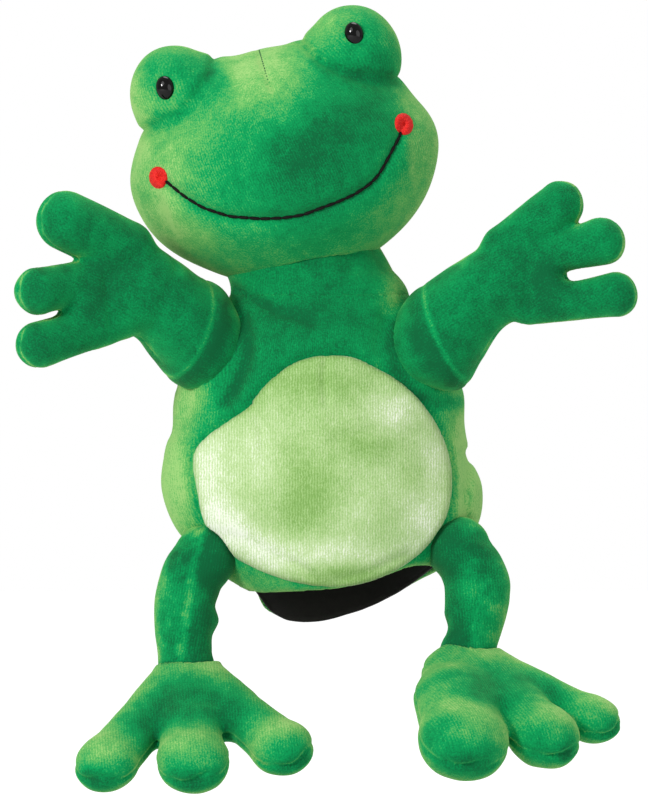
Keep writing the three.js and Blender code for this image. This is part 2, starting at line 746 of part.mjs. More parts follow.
function buildLeg({ name, side, hip, ankle, leg, foot, legGroup, footGroup }) {
  const length = ankle.distanceTo(hip);
  const bow = side * leg.bow;
  const handInset = plushThickness + liningThickness + 2 * clearance;
  const handSpace = seenFrom(legGroup, gloveForm(handInset, cuffLength));
  const skin = cut(toSolid(legForm(length, bow, 0)), legForm(length, bow, plushThickness), handSpace);
  addMesh(legGroup, `${name}_leg_cover`, skin, plushGreen);
  const stuffing = cut(toSolid(legForm(length, bow, plushThickness + clearance)), handSpace);
  addMesh(legGroup, `${name}_leg_stuffing`, stuffing, whiteFibre);

  const ankleBall = ballAt(new THREE.Vector3(), ankleRadius + sphereClearance);
  const across = new THREE.Vector3(1, 0, 0);
  const shin = hip.clone().sub(ankle).normalize().applyQuaternion(footGroup.quaternion.clone().invert());
  shin.applyAxisAngle(across, radians(footFlex));
  const shinRadius = ankleRadius + leg.bow / 4 + 2 * sphereClearance;
  const shinRoom = new THREE.CylinderGeometry(shinRadius, shinRadius, length, ballSides);
  shinRoom.translate(0, length / 2, 0);
  shinRoom.applyQuaternion(new THREE.Quaternion().setFromUnitVectors(new THREE.Vector3(0, 1, 0), shin));
  const footSkin = cut(footForm(foot, 0).subtract(footForm(foot, plushThickness)), ankleBall, shinRoom);
  const seam = clearance / 2;
  const topSide = new THREE.Vector3(0, 1, 0).transformDirection(footGroup.matrixWorld).z > 0 ? 1 : -1;
  const upward = new THREE.Vector3(0, topSide, 0);
  const upper = halfSpace(upward.clone().multiplyScalar(seam), upward);
  const lower = halfSpace(upward.clone().multiplyScalar(-seam), upward.clone().negate());
  addMesh(footGroup, `${name}_foot_upper`, keep(footSkin, upper), plushGreen);
  addMesh(footGroup, `${name}_foot_sole`, keep(footSkin, lower), plushGreen);
  const footStuffing = cut(footForm(foot, plushThickness + clearance), ankleBall, shinRoom);
  addMesh(footGroup, `${name}_foot_stuffing`, footStuffing, whiteFibre);
}

buildGlove();
buildCollar();
buildHead();
limbs.forEach(buildArm);
limbs.forEach(buildLeg);

export default frog;
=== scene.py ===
# Frog hand puppet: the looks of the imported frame. The forms are made in millimetres, each in its own axes,
# and become metres in the row frame when their mesh is made. The frog faces -Y; its right side is at -X.

import json

import bmesh
import bpy
import numpy as np
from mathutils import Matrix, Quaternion, Vector


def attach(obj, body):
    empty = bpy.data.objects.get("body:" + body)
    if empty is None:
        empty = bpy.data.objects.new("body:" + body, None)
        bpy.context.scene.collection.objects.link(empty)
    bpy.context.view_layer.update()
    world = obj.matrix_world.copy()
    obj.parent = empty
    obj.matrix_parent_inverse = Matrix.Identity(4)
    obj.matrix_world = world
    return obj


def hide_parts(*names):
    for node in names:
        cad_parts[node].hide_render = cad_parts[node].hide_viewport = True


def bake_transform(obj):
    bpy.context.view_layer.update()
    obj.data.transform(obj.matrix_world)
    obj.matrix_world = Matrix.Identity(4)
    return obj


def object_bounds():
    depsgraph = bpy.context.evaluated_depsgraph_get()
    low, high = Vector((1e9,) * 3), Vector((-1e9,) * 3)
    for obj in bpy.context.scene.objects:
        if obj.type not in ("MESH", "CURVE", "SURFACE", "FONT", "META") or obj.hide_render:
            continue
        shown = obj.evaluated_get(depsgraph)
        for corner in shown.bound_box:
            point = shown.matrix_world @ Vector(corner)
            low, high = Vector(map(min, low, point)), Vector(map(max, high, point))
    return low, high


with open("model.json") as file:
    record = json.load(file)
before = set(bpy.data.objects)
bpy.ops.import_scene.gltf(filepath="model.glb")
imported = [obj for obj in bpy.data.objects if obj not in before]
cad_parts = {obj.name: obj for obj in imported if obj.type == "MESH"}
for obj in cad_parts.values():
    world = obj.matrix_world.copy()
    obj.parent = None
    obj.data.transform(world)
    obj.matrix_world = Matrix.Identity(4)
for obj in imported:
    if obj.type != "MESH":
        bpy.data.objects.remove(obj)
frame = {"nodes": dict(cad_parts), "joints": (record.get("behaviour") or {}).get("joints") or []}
cad_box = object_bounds()

PIVOT = {joint["name"]: 1000 * np.array(joint["pos_m"], float) for joint in frame["joints"]}
AXIS = {joint["name"]: np.array(joint["axis"], float) for joint in frame["joints"]}
PLUSH = 2.3  # thickness of the pile cloth
HIP_BALL = 12.6  # radius of a leg's round end in the hip
HEAD_TILT = np.radians(12.3)
MOUTH_HALF, MOUTH_CORNER = 50.0, 68.3  # half the mouth's width and the height of its ends, in the head's axes
EYES = {"right": (-39.6, 102.4), "left": (38.2, 107.4)}  # x and z in the head's axes


# Camera and lights

def new_object(name, data):
    made = bpy.data.objects.new(name, data)
    bpy.context.scene.collection.objects.link(made)
    return made


def add_camera():
    data = bpy.data.cameras.new("camera")
    data.sensor_fit = "VERTICAL"
    data.sensor_height = 24
    data.lens = 300
    data.clip_end = 50
    camera = new_object("camera", data)
    camera.location = (-0.004, -4.0, 0.0812)
    camera.rotation_euler = (np.pi / 2, 0, 0)
    bpy.context.scene.camera = camera


def add_lamp(name, place, aim, size, watts):
    data = bpy.data.lights.new(name, "AREA")
    data.shape = "DISK"
    data.size = size
    data.energy = watts
    lamp = new_object(name, data)
    lamp.location = place
    direction = Vector(np.array(place, float) - np.array(aim, float))
    lamp.rotation_euler = direction.to_track_quat("Z", "Y").to_euler()


# Small fields: distances in millimetres, negative inside

def clip01(value):
    return np.clip(value, 0, 1)


def smooth_min(a, b, k):
    h = clip01(0.5 + 0.5 * (b - a) / k)
    return b + (a - b) * h - k * h * (1 - h)


def smooth_max(a, b, k):
    return -smooth_min(-a, -b, k)


def lengths(v):
    return np.linalg.norm(v, axis=1)


def ovoid(p, centre, halves):
    q = (p - centre) / halves
    near = lengths(q)
    return near * (near - 1) / np.maximum(lengths(q / halves), 1e-6)


def tube(p, start, end, start_radius, end_radius, flat=1.0):
    a, b = np.array(start, float), np.array(end, float)
    q = p - a
    q[:, 1] = q[:, 1] / flat
    along = b - a
    share = clip01(q @ along / (along @ along))
    radius = start_radius + (end_radius - start_radius) * share
    return lengths(q - share[:, None] * along) - radius


def table_of(stations):
    """A smooth table from stations (z, x, y, half width, half depth) along z."""
    s = np.array(stations, float)
    z, v = s[:, 0], s[:, 1:]
    slope = np.gradient(v, z, axis=0)
    dense = np.linspace(z[0], z[-1], 300)
    i = np.clip(np.searchsorted(z, dense) - 1, 0, len(z) - 2)
    h = (z[i + 1] - z[i])[:, None]
    t = ((dense - z[i]) / h[:, 0])[:, None]
    values = (
        (2 * t**3 - 3 * t**2 + 1) * v[i]
        + (t**3 - 2 * t**2 + t) * h * slope[i]
        + (-2 * t**3 + 3 * t**2) * v[i + 1]
        + (t**3 - t**2) * h * slope[i + 1]
    )
    return dense, values


def section(table, z):
    dense, values = table
    return [np.interp(z, dense, column) for column in values.T]


def loft(p, table):
    x, y, wide, deep = section(table, p[:, 2])
    u, v = p[:, 0] - x, p[:, 1] - y
    near = np.sqrt((u / wide) ** 2 + (v / deep) ** 2)
    slope = np.sqrt((u / wide**2) ** 2 + (v / deep**2) ** 2)
    return near * (near - 1) / np.maximum(slope, 1e-6)


CELLS = 24
LATTICE = np.random.RandomState(7).rand(CELLS, CELLS, CELLS) * 2 - 1


def noise(p, size, shift=0.0):
    """Smooth random values between -1 and 1, with waves of about the given size."""
    q = p / size + shift
    cell = np.floor(q).astype(int)
    f = q - cell
    f = f * f * (3 - 2 * f)
    total = 0
    for offset in np.ndindex(2, 2, 2):
        corner = (cell + offset) % CELLS
        share = np.where(offset, f, 1 - f)
        total = total + share[:, 0] * share[:, 1] * share[:, 2] * LATTICE[tuple(corner.T)]
    return total


def bell(distance, width):
    return np.exp(-((distance / width) ** 2))


def smoothed(x, table, shifts):
    """A table's value at x, averaged over small shifts."""
    return sum(np.interp(x + shift, *table.T) for shift in shifts) / len(shifts)


def from_line(u, v, points):
    """Distance in a plane to a line through points."""
    best = np.full(len(u), 1e9)
    for (ax, ay), (bx, by) in zip(points, points[1:]):
        dx, dy = bx - ax, by - ay
        t = clip01(((u - ax) * dx + (v - ay) * dy) / (dx * dx + dy * dy))
        best = np.minimum(best, np.hypot(u - ax - t * dx, v - ay - t * dy))
    return best


# From a field to a mesh

def surface(field, low, high, step):
    """The zero surface of a field as points and quads, found only near the surface."""
    low, high = np.array(low, float), np.array(high, float)
    block = 5  # cells along a side of what one rough sample stands for
    counts = (np.ceil((high - low) / (step * block)).astype(int)) * block
    axes = [low[k] + step * np.arange(counts[k]) for k in range(3)]
    coarse = [axis.reshape(-1, block).mean(axis=1) for axis in axes]
    grid = np.stack(np.meshgrid(*coarse, indexing="ij"), -1).reshape(-1, 3)
    rough = field(grid).reshape([len(axis) for axis in coarse])
    rough = rough.repeat(block, 0).repeat(block, 1).repeat(block, 2)
    near = np.abs(rough) < step * block * 1.25 + 1.5
    value = np.where(rough < 0, -50.0, 50.0)
    i, j, k = np.nonzero(near)
    value[near] = field(np.stack([axes[0][i], axes[1][j], axes[2][k]], -1))
    inside = value < 0
    shape = np.array(value.shape) - 1
    total = np.zeros((*shape, 3))
    count = np.zeros(shape)
    quads = []
    for axis in range(3):
        at = np.argwhere(np.diff(inside, axis=axis))
        v0, v1 = value[tuple(at.T)], value[tuple((at + np.eye(3, dtype=int)[axis]).T)]
        point = at.astype(float)
        point[:, axis] += v0 / (v0 - v1)
        b, c = [k for k in range(3) if k != axis]
        corners = []
        for db, dc in ((-1, -1), (0, -1), (0, 0), (-1, 0)):
            cell = at.copy()
            cell[:, b] += db
            cell[:, c] += dc
            good = np.all((cell >= 0) & (cell < shape), axis=1)
            np.add.at(total, tuple(cell[good].T), point[good])
            np.add.at(count, tuple(cell[good].T), 1)
            corners.append((cell, good))
        good = np.all([g for _, g in corners], axis=0)
        quad = np.stack([np.ravel_multi_index(cell[good].T, shape) for cell, _ in corners], 1)
        flip = (v0[good] > 0) != (axis == 1)
        quad[flip] = quad[flip][:, ::-1]
        quads.append(quad)
    used = np.flatnonzero(count.ravel())
    lookup = np.full(count.size, -1)
    lookup[used] = np.arange(len(used))
    points = total.reshape(-1, 3)[used] / count.ravel()[used][:, None] * step + low
    return points, lookup[np.concatenate(quads)]


def slope_of(field, points, reach=0.35):
    offsets = reach * np.eye(3)
    return np.stack([(field(points + offset) - field(points - offset)) / (2 * reach) for offset in offsets], -1)


def settled(field, points, step, rounds=3):
    """Points moved onto the zero surface, with the surface's outward directions."""
    for _ in range(rounds):
        slope = slope_of(field, points)
        size = np.maximum((slope**2).sum(axis=1), 0.05)
        move = np.clip(field(points) / size, -step, step)[:, None] * slope
        points = points - move
    slope = slope_of(field, points)
    return points, slope / np.maximum(lengths(slope), 1e-6)[:, None]


def skinned(field, low, high, step):
    """A field's surface as points, faces and outward directions."""
    points, faces = surface(field, low, high, step)
    points, normals = settled(field, points, step)
    return points, faces, normals


def turns(count):
    return np.linspace(0, 2 * np.pi, count, endpoint=False)


def ring_faces(rings, around):
    """Quads between closed rings of points."""
    r, k = np.meshgrid(np.arange(rings - 1), np.arange(around), indexing="ij")
    after = (k + 1) % around
    faces = np.stack([r * around + k, r * around + after, (r + 1) * around + after, (r + 1) * around + k], -1)
    return faces.reshape(-1, 4)


def unit(v):
    v = np.array(v, float)
    return v / np.linalg.norm(v)


def axes_along(along, nearly_x):
    z = unit(along)
    x = unit(np.array(nearly_x, float) - np.dot(nearly_x, z) * z)
    return np.column_stack([x, np.cross(z, x), z])


class Place:
    """Where a form's own axes lie in the row frame."""

    def __init__(self, origin, axes):
        self.origin, self.axes = origin, axes

    def out(self, p):
        return p @ self.axes.T + self.origin

    def turn(self, v):
        return v @ self.axes.T


# Pieces

def new_piece(name, points, faces, body, nodes, materials, nap_and_painted_light=None, rows=None, kinds=None):
    mesh = bpy.data.meshes.new(name)
    mesh.from_pydata((points / 1000).tolist(), [], [tuple(face) for face in faces.tolist()])
    mesh.update()
    mesh.shade_smooth()
    for material in materials:
        mesh.materials.append(material)
    if kinds is not None:
        mesh.polygons.foreach_set("material_index", kinds.astype(np.int32))
    # A vertex value for the pile's colour: its brushed tone together with painted light and shade
    if nap_and_painted_light is not None:
        layer = mesh.attributes.new("nap_and_painted_light", "FLOAT", "POINT")
        layer.data.foreach_set("value", clip01(nap_and_painted_light).astype(np.float32))
    if rows is not None:
        corners = np.empty(len(mesh.loops), dtype=np.int32)
        mesh.loops.foreach_get("vertex_index", corners)
        layer = mesh.uv_layers.new(name="rows")
        layer.data.foreach_set("uv", (rows[corners] / 1000).astype(np.float32).ravel())
    piece = new_object(name, mesh)
    if body:
        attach(piece, body)
    if nodes:
        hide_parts(*nodes)
    return piece


def thicken(piece, thickness, offset):
    """A wall on one side of an open surface, as part of its mesh."""
    wall = piece.modifiers.new("wall", "SOLIDIFY")
    wall.thickness = thickness
    wall.offset = offset
    bpy.context.view_layer.update()
    graph = bpy.context.evaluated_depsgraph_get()
    mesh = bpy.data.meshes.new_from_object(piece.evaluated_get(graph))
    piece.modifiers.clear()
    old = piece.data
    piece.data = mesh
    bpy.data.meshes.remove(old)


def blobs(u, v, spots):
    """The sum of soft spots, each (u, v, half width, half height, amount)."""
    total = np.zeros(len(u))
    for x, y, wide, high, amount in spots:
        total += amount * np.exp(-(((u - x) / wide) ** 2) - ((v - y) / high) ** 2)
    return total


def rib_rows(across, facing=1.0):
    """Millimetres across the knit's ribs, and how strongly the ribs show there."""
    shown = clip01(1.5 * np.abs(facing) - 0.3) * np.ones(len(across))
    return np.stack([across, 1000 * shown], -1)


def painted_edge_sheen(world_normals):
    """Painted sheen: the pile's colour is made lighter where the surface faces sideways than where it faces the front
    or the back.
    """
    return (1 - np.abs(world_normals[:, 1])) ** 1.3


# Materials

class Nodes:
    """Short calls for a material's nodes."""

    def __init__(self, name):
        self.material = bpy.data.materials.new(name)
        self.material.use_nodes = True
        self.tree = self.material.node_tree
        self.shader = self.tree.nodes["Principled BSDF"]
        self.where = self.add("TexCoord").outputs["Object"]

    def add(self, kind, **settings):
        node = self.tree.nodes.new(f"ShaderNode{kind}")
        for key, value in settings.items():
            if hasattr(node, key):
                setattr(node, key, value)
            else:
                node.inputs[key.replace("_", " ").title()].default_value = value
        return node

    def link(self, source, target):
        self.tree.links.new(source, target)

    def math(self, kind, a, b):
        node = self.add("Math", operation=kind)
        for socket, value in zip(node.inputs, (a, b)):
            if isinstance(value, (int, float)):
                socket.default_value = value
            else:
                self.link(value, socket)
        return node.outputs[0]

    def noise(self, scale, detail, roughness):
        node = self.add("TexNoise", scale=scale, detail=detail, roughness=roughness)
        self.link(self.where, node.inputs["Vector"])
        return node.outputs["Fac"]

    def bands(self, where, period, direction, distortion):
        """Stripes across one direction, with the period in metres."""
        node = self.add(
            "TexWave", bands_direction=direction, scale=2 * np.pi / (20 * period), distortion=distortion, detail=1,
            detail_scale=1.5,
        )
        self.link(where, node.inputs["Vector"])
        return node.outputs["Fac"]

    def ramp(self, value, stops):
        node = self.add("ValToRGB")
        elements = node.color_ramp.elements
        while len(elements) < len(stops):
            elements.new(0.5)
        for element, (place, colour) in zip(elements, stops):
            element.position = place
            element.color = (*[linear(c) for c in colour], 1)
        self.link(value, node.inputs[0])
        return node.outputs[0]

    def bump(self, height, strength, distance):
        node = self.add("Bump", strength=strength, distance=distance)
        self.link(height, node.inputs["Height"])
        self.link(node.outputs[0], self.shader.inputs["Normal"])

    def finish(self, **settings):
        for key, value in settings.items():
            self.shader.inputs[key.replace("_", " ")].default_value = value
        return self.material


def linear(level):
    """A screen colour's level, 0 to 255, as light."""
    level = level / 255
    return level / 12.92 if level <= 0.04045 else ((level + 0.055) / 1.055) ** 2.4


RIB_PERIOD = 0.0011


def plush(name, stops, sheen, sheen_colour, mottle=0.5, speckle=1.0, rib=0.24):
    """Velour: its colour follows how the pile is brushed, with light and shade painted into a vertex value, and with
    patches, tufts and the knit's ribs.
    """
    n = Nodes(name)
    rows = n.add("UVMap", uv_map="rows").outputs[0]
    nap_and_painted_light = n.add("Attribute", attribute_name="nap_and_painted_light").outputs["Fac"]
    large, patches, tufts = n.noise(55, 3, 0.5), n.noise(190, 4, 0.6), n.noise(1500, 3, 0.7)
    apart, places, along = (n.add(f"{kind}XYZ") for kind in ("Separate", "Separate", "Combine"))
    n.link(rows, apart.inputs[0])
    n.link(n.where, places.inputs[0])
    n.link(apart.outputs["X"], along.inputs["X"])
    n.link(places.outputs["Z"], along.inputs["Y"])
    ribs = n.math("MULTIPLY", n.bands(along.outputs[0], RIB_PERIOD, "X", 3.0), n.noise(420, 2, 0.6))
    ribs = n.math("MULTIPLY", ribs, apart.outputs["Y"])
    shade = nap_and_painted_light
    for part, middle, amount in (
        (large, 0.5, mottle), (patches, 0.5, mottle * 0.9), (tufts, 0.5, speckle), (ribs, 0.25, rib),
    ):
        shade = n.math("ADD", shade, n.math("MULTIPLY", n.math("SUBTRACT", part, middle), amount))
    n.link(n.ramp(shade, stops), n.shader.inputs["Base Color"])
    height = n.math("ADD", n.math("MULTIPLY", tufts, 0.8), n.math("MULTIPLY", ribs, 0.45))
    n.bump(height, 0.55, 0.0005)
    return n.finish(
        Roughness=0.92, Specular_IOR_Level=0.1, Sheen_Weight=sheen, Sheen_Roughness=0.42,
        Sheen_Tint=(*[linear(c) for c in sheen_colour], 1),
    )


def woven(name, stops, period, depth, rough):
    n = Nodes(name)
    rows = n.add("UVMap", uv_map="rows").outputs[0]
    warp, weft = (n.bands(rows, period, direction, 0.4) for direction in "XY")
    mottle = n.noise(300, 3, 0.6)
    cross = n.math("MULTIPLY", n.math("ADD", warp, weft), 0.5)
    shade = n.math("ADD", n.math("MULTIPLY", cross, 0.5), n.math("MULTIPLY", mottle, 0.5))
    n.link(n.ramp(shade, stops), n.shader.inputs["Base Color"])
    n.bump(cross, 0.5, depth)
    return n.finish(Roughness=rough, Specular_IOR_Level=0.2, Sheen_Weight=0.15, Sheen_Roughness=0.5)


def plain(name, stops, scale, bump_depth, **settings):
    n = Nodes(name)
    mottle = n.noise(scale, 3, 0.6)
    n.link(n.ramp(mottle, stops), n.shader.inputs["Base Color"])
    if bump_depth:
        n.bump(mottle, 0.5, bump_depth)
    return n.finish(**settings)


GREEN = plush(
    "green_velour",
    [(0.0, (4, 86, 48)), (0.22, (0, 114, 62)), (0.5, (2, 140, 76)), (0.78, (92, 162, 84)), (1.0, (138, 182, 106))],
    0.3, (150, 214, 120),
)
PALE = plush(
    "pale_velour",
    [(0.0, (112, 152, 78)), (0.35, (146, 178, 114)), (0.7, (178, 198, 152)), (1.0, (218, 222, 208))],
    0.3, (236, 240, 226), 0.4, 0.95, 0.5,
)
LINING = woven("black_lining", [(0.2, (17, 16, 13)), (0.8, (31, 30, 25))], 0.0005, 0.0001, 0.8)
BLACK_THREAD = plain(
    "black_thread", [(0.3, (5, 5, 4)), (0.7, (20, 16, 14))], 3000, 0.0001, Roughness=0.7, Specular_IOR_Level=0.12,
)
DARK_THREAD = plain("dark_green_thread", [(0.3, (10, 66, 38)), (0.7, (22, 92, 52))], 3000, 0.0001, Roughness=0.8)
RED_THREAD = plain(
    "red_thread", [(0.3, (140, 8, 8)), (0.5, (204, 22, 20)), (0.72, (226, 62, 46))], 2600, 0.00015,
    Roughness=0.6, Specular_IOR_Level=0.2,
)
EYE_BLACK = plain(
    "eye_black", [(0.4, (3, 3, 3)), (0.6, (7, 7, 7))], 700, 0.0, Roughness=0.05, Specular_IOR_Level=0.26,
)
WHITE_PLASTIC = plain("washer_white", [(0.4, (214, 214, 210)), (0.6, (232, 232, 228))], 900, 0.00005, Roughness=0.4)


# Glove

GLOVE = table_of([
    (-18, 0, 0, 31, 26),
    (0, 0, 0, 35, 29),
    (14, -1.2, 0, 46.5, 34),
    (30, -2.8, 0, 60.2, 36.5),
    (46, -5.2, 0, 64.6, 38),
    (60, -7.0, 0, 61.4, 37.6),
    (71, -6.2, 0, 58.8, 37),
    (84, -5.6, 0, 57.6, 36),
    (104, -6, 0, 47.5, 33),
    (114, -5.6, 0, 40, 29.5),
    (124, -5.7, 0, 35.8, 25.6),
    (134, -6.4, 0, 34.8, 24.5),
])
HEM_TILT = np.radians(13)
NECK_TOP = 123.5
SHOULDER = {side: PIVOT[f"{side}_arm_swing"] for side in ("right", "left")}
SHOULDER_RADIUS = {"right": 19.2, "left": 18.6}
HIPS = {side: PIVOT[f"{side}_leg_swing"] for side in ("right", "left")}
PATCH_CENTRE = np.array([-4.6, 52.8])
PATCH = np.array([
    (-56.2, 55), (-55.5, 61.8), (-51, 66.4), (-43.4, 71.7), (-35.1, 77), (-31.3, 82.2), (-25.3, 89), (-16.2, 95.8),
    (-7.2, 98.6), (8, 98.1), (17, 93.6), (29.1, 86), (36.6, 77.7), (42.7, 67.9), (46.5, 55.8), (46.9, 45.2),
    (44.2, 33.2), (38.2, 24.1), (30.6, 17.3), (20, 11.2), (9.5, 7.9), (-2.6, 7), (-13.2, 8.4), (-23.8, 11.2),
    (-34.3, 15.8), (-43.4, 21.1), (-49.4, 27.1), (-52.4, 34.7), (-54.3, 45.2),
])
# Heights of the front hem, and what the back hem adds to them, each at an x
HEM = np.array([
    (-60, 8), (-36, 3.8), (-30, 0.2), (-18, -0.8), (-8, -1.1), (2.4, -0.3), (14, 2.2), (24, 7), (33, 11), (60, 15),
])
BACK_HEM = np.array([
    (-46, 5), (-39, 8.2), (-33.5, 10), (-31.4, 7.5), (-30.2, 4.7), (-29, 1.6), (-27.4, 0.4), (-24, -0.5), (-19, -1.8),
    (-13, -1.6), (-5, -0.8), (5, 0.8), (14, 1.2), (26, 0.6), (34, 1.6), (46, 3.2),
])
# Lines in x and z along the front's folds, where shade is painted; the right outer and chest folds also dent the
# cloth
RIGHT_FOLD_SHADE = [(-40, 127), (-35.8, 115), (-36.8, 108), (-40.8, 101.6), (-47.4, 95.6), (-55.3, 88.4)]
RIGHT_OUTER_FOLD = [(-35.4, 113.6), (-33.1, 103.6), (-34.8, 94.9), (-38.8, 85), (-43.4, 79.7)]
CHEST_FOLD = [(-38, 125), (-24, 117), (-8, 112)]
LEFT_FOLD_SHADE = [(31.4, 124.1), (24.3, 112), (22.6, 103), (24.5, 93), (30.6, 83.8), (40.8, 79.6), (52, 80)]
# Folds: points of the line in x and z, depth, and at the sides the width
FRONT_FOLDS = [(RIGHT_OUTER_FOLD, 1.5), ([(20, 116), (17.5, 104), (19, 94)], 0.8), (CHEST_FOLD, 1.4)]
FRONT_FOLD_WIDTH = 2.4
SIDE_FOLDS = [
    ([(52.8, 60), (53.4, 51.2), (51.6, 41.2), (53, 31)], 1.9, 2.2),
    ([(-62, 44), (-60, 34), (-52, 30)], 0.5, 2.4),
    ([(-57, 88), (-60, 76), (-64, 68)], 0.9, 3.0),
    ([(49, 88), (53, 76), (53, 66)], 0.3, 3.0),
]


def hem_height(x, y):
    behind = clip01((y + 11) / 12) * smoothed(x, BACK_HEM, (-1, 0, 1))
    return smoothed(x, HEM, (-4, -2, 0, 2, 4)) - y * np.tan(HEM_TILT) + behind


def patch_edge(x, z):
    """Distance from the belly patch's outline, negative inside."""
    corners = PATCH - PATCH_CENTRE
    angles = np.arctan2(corners[:, 1], corners[:, 0])
    order = np.argsort(angles)
    reaches = lengths(corners)[order]
    angle = np.arctan2(z - PATCH_CENTRE[1], x - PATCH_CENTRE[0])
    reach = 0
    for shift in (-0.05, 0, 0.05):
        reach = reach + np.interp(angle + shift, angles[order], reaches, period=2 * np.pi) / 3
    return 0.95 * (np.hypot(x - PATCH_CENTRE[0], z - PATCH_CENTRE[1]) - reach)


def glove_skin(p):
    x, y, z = p.T
    f = loft(p, GLOVE)
    for name, centre in SHOULDER.items():
        f = smooth_min(f, lengths(p - centre) - SHOULDER_RADIUS[name] + 1.2, 6)
    before = clip01(-y / 8)  # folds of the front fade towards the sides
    f -= (0.7 * noise(p, 26) + 0.35 * noise(p, 11, 5.3)) * np.clip((z - 2) / 16, 0.2, 1)
    for points, depth in FRONT_FOLDS:
        f += before * depth * bell(from_line(x, z, points), FRONT_FOLD_WIDTH)
    for points, depth, width in SIDE_FOLDS:
        f += depth * bell(from_line(x, z, points), width) * clip01((12 - y) / 8)
    # The seams round the belly panel and down both sides
    f += before * 1.3 * bell(patch_edge(x, z), 1.8) * clip01((z - 12) / 8)
    f += 0.9 * bell(y, 1.3) * (z > 8)
    return f


def glove_inside(p):
    """The glove's inner wall lies deeper above the hem, under its folds."""
    return loft(p, GLOVE) + PLUSH + 1 + 1.4 * clip01((p[:, 2] - 8) / 10)


def glove_shell(p):
    f = smooth_max(glove_skin(p), -glove_inside(p), 0.6)
    f = smooth_max(f, (hem_height(p[:, 0], p[:, 1]) - p[:, 2]) * np.cos(HEM_TILT), 1.4)
    f = smooth_max(f, p[:, 2] - NECK_TOP, 0.3)
    for name, centre in SHOULDER.items():
        f = smooth_max(f, SHOULDER_RADIUS[name] - 1.0 - lengths(p - centre), 1.0)
    for centre in HIPS.values():
        f = smooth_max(f, HIP_BALL - 0.8 - lengths(p - centre), 1.0)
    return f


def glove_across(p):
    """The way round the glove from the middle of its front, in millimetres."""
    return 48 * np.arctan2(p[:, 0] + 4, -p[:, 1])


def glove_nap_and_painted_light(points, normals):
    x, y, z = points.T
    # Painted sheen lighter at the sides, then patches: partly the pile's tone, partly painted light on the sides and
    # painted shade under the chin and beside the arms
    nap_and_painted_light = 0.34 + 0.5 * painted_edge_sheen(normals)
    nap_and_painted_light += blobs(x, z, [
        (-66, 66, 9, 26, 0.35), (-58, 84, 8, 10, 0.3), (57, 50, 8, 24, 0.3), (0, 6, 60, 9, 0.25),
        (-8, 114, 26, 16, -0.24), (-30, 100, 12, 16, -0.14), (34, 92, 14, 18, -0.1), (50, 70, 9, 16, 0.28),
        (-61, 44, 9, 17, 0.34), (53, 40, 9, 20, 0.34), (-50, 22, 9, 8, 0.2),
        (24, 124, 5, 10, 0.4), (-14, 142, 30, 12, -0.2),
    ])
    # Painted shade along the folds
    for fold in (RIGHT_FOLD_SHADE, RIGHT_OUTER_FOLD, LEFT_FOLD_SHADE, CHEST_FOLD):
        nap_and_painted_light -= 0.3 * bell(from_line(x, z, fold), 2.6) * (y < 0)
    return nap_and_painted_light


def close_seams(piece):
    """Fill between the two walls of a cut shell, so that each panel is a closed cloth."""
    net = bmesh.new()
    net.from_mesh(piece.data)
    made = bmesh.ops.holes_fill(net, edges=[edge for edge in net.edges if edge.is_boundary], sides=0)["faces"]
    for face in made:
        face.smooth = False
    bmesh.ops.recalc_face_normals(net, faces=net.faces)
    net.to_mesh(piece.data)
    net.free()


def build_glove():
    points, faces, normals = skinned(glove_shell, (-78, -44, -12), (68, 44, 130), step=1.45)
    nap_and_painted_light = glove_nap_and_painted_light(points, normals)
    centre = points[faces].mean(axis=1)
    for name, chosen, area in (("front", centre[:, 1] < 0, 0.0154), ("back", centre[:, 1] >= 0, 0.0178)):
        part = faces[chosen]
        used, flat = np.unique(part, return_inverse=True)
        piece = new_piece(
            f"glove_{name}", points[used], flat.reshape(part.shape), "glove", [f"body_{name}"],
            [GREEN], nap_and_painted_light[used], rib_rows(glove_across(points[used])),
        )
        close_seams(piece)


def build_lining():
    around, tall, inward, hip_hole = 112, 54, PLUSH + 1.6, 15
    angle = turns(around)
    rows = []
    for share in np.linspace(0, 1, tall):
        z = np.full(around, 5.0)
        for _ in range(30):  # the hem's height depends on where the wall is at that height
            x, y, wide, deep = section(GLOVE, z)
            px = x + (wide - inward) * np.cos(angle)
            py = y + (deep - inward) * np.sin(angle)
            shown = clip01((py - 6) / 8) * clip01((px + 30) / 4)
            hem = hem_height(px, py) + 0.9 - 1.7 * shown
            z = 0.6 * z + 0.4 * (hem + share * (NECK_TOP - 0.6 - hem))
        rows.append(np.stack([px, py, z], -1))
    points = np.concatenate(rows)
    points, _ = settled(lambda q: glove_inside(q) + 0.6, points, 2.0, 2)
    faces = ring_faces(tall, around)[:, ::-1]
    middle = points[faces].mean(axis=1)
    keep = np.ones(len(faces), bool)
    for name, centre in SHOULDER.items():
        keep &= lengths(middle - centre) > SHOULDER_RADIUS[name] - 1.5
    for centre in HIPS.values():
        keep &= lengths(middle - centre) > hip_hole
    piece = new_piece(
        "glove_lining", points, faces[keep], "glove", ["lining_front", "lining_back"], [LINING],
        rows=np.stack([glove_across(points), points[:, 2]], -1),
    )
    thicken(piece, 0.0008, 1)


BELLY_CREASES = [
    ([(-5, 8), (-9, 12), (-16, 17)], 1.0, 1.7),
    ([(0, 9), (14, 13), (30, 20)], 0.8, 2.2),
    ([(-3, 98), (-4, 90), (-3, 80)], 0.9, 1.8),
    ([(-33, 79), (-29, 72), (-28, 62)], 1.1, 2.0),
    ([(2, 66), (16, 69), (34, 67)], 0.6, 3.0),
    ([(-50, 28), (-36, 26), (-20, 18)], 0.6, 2.6),
]


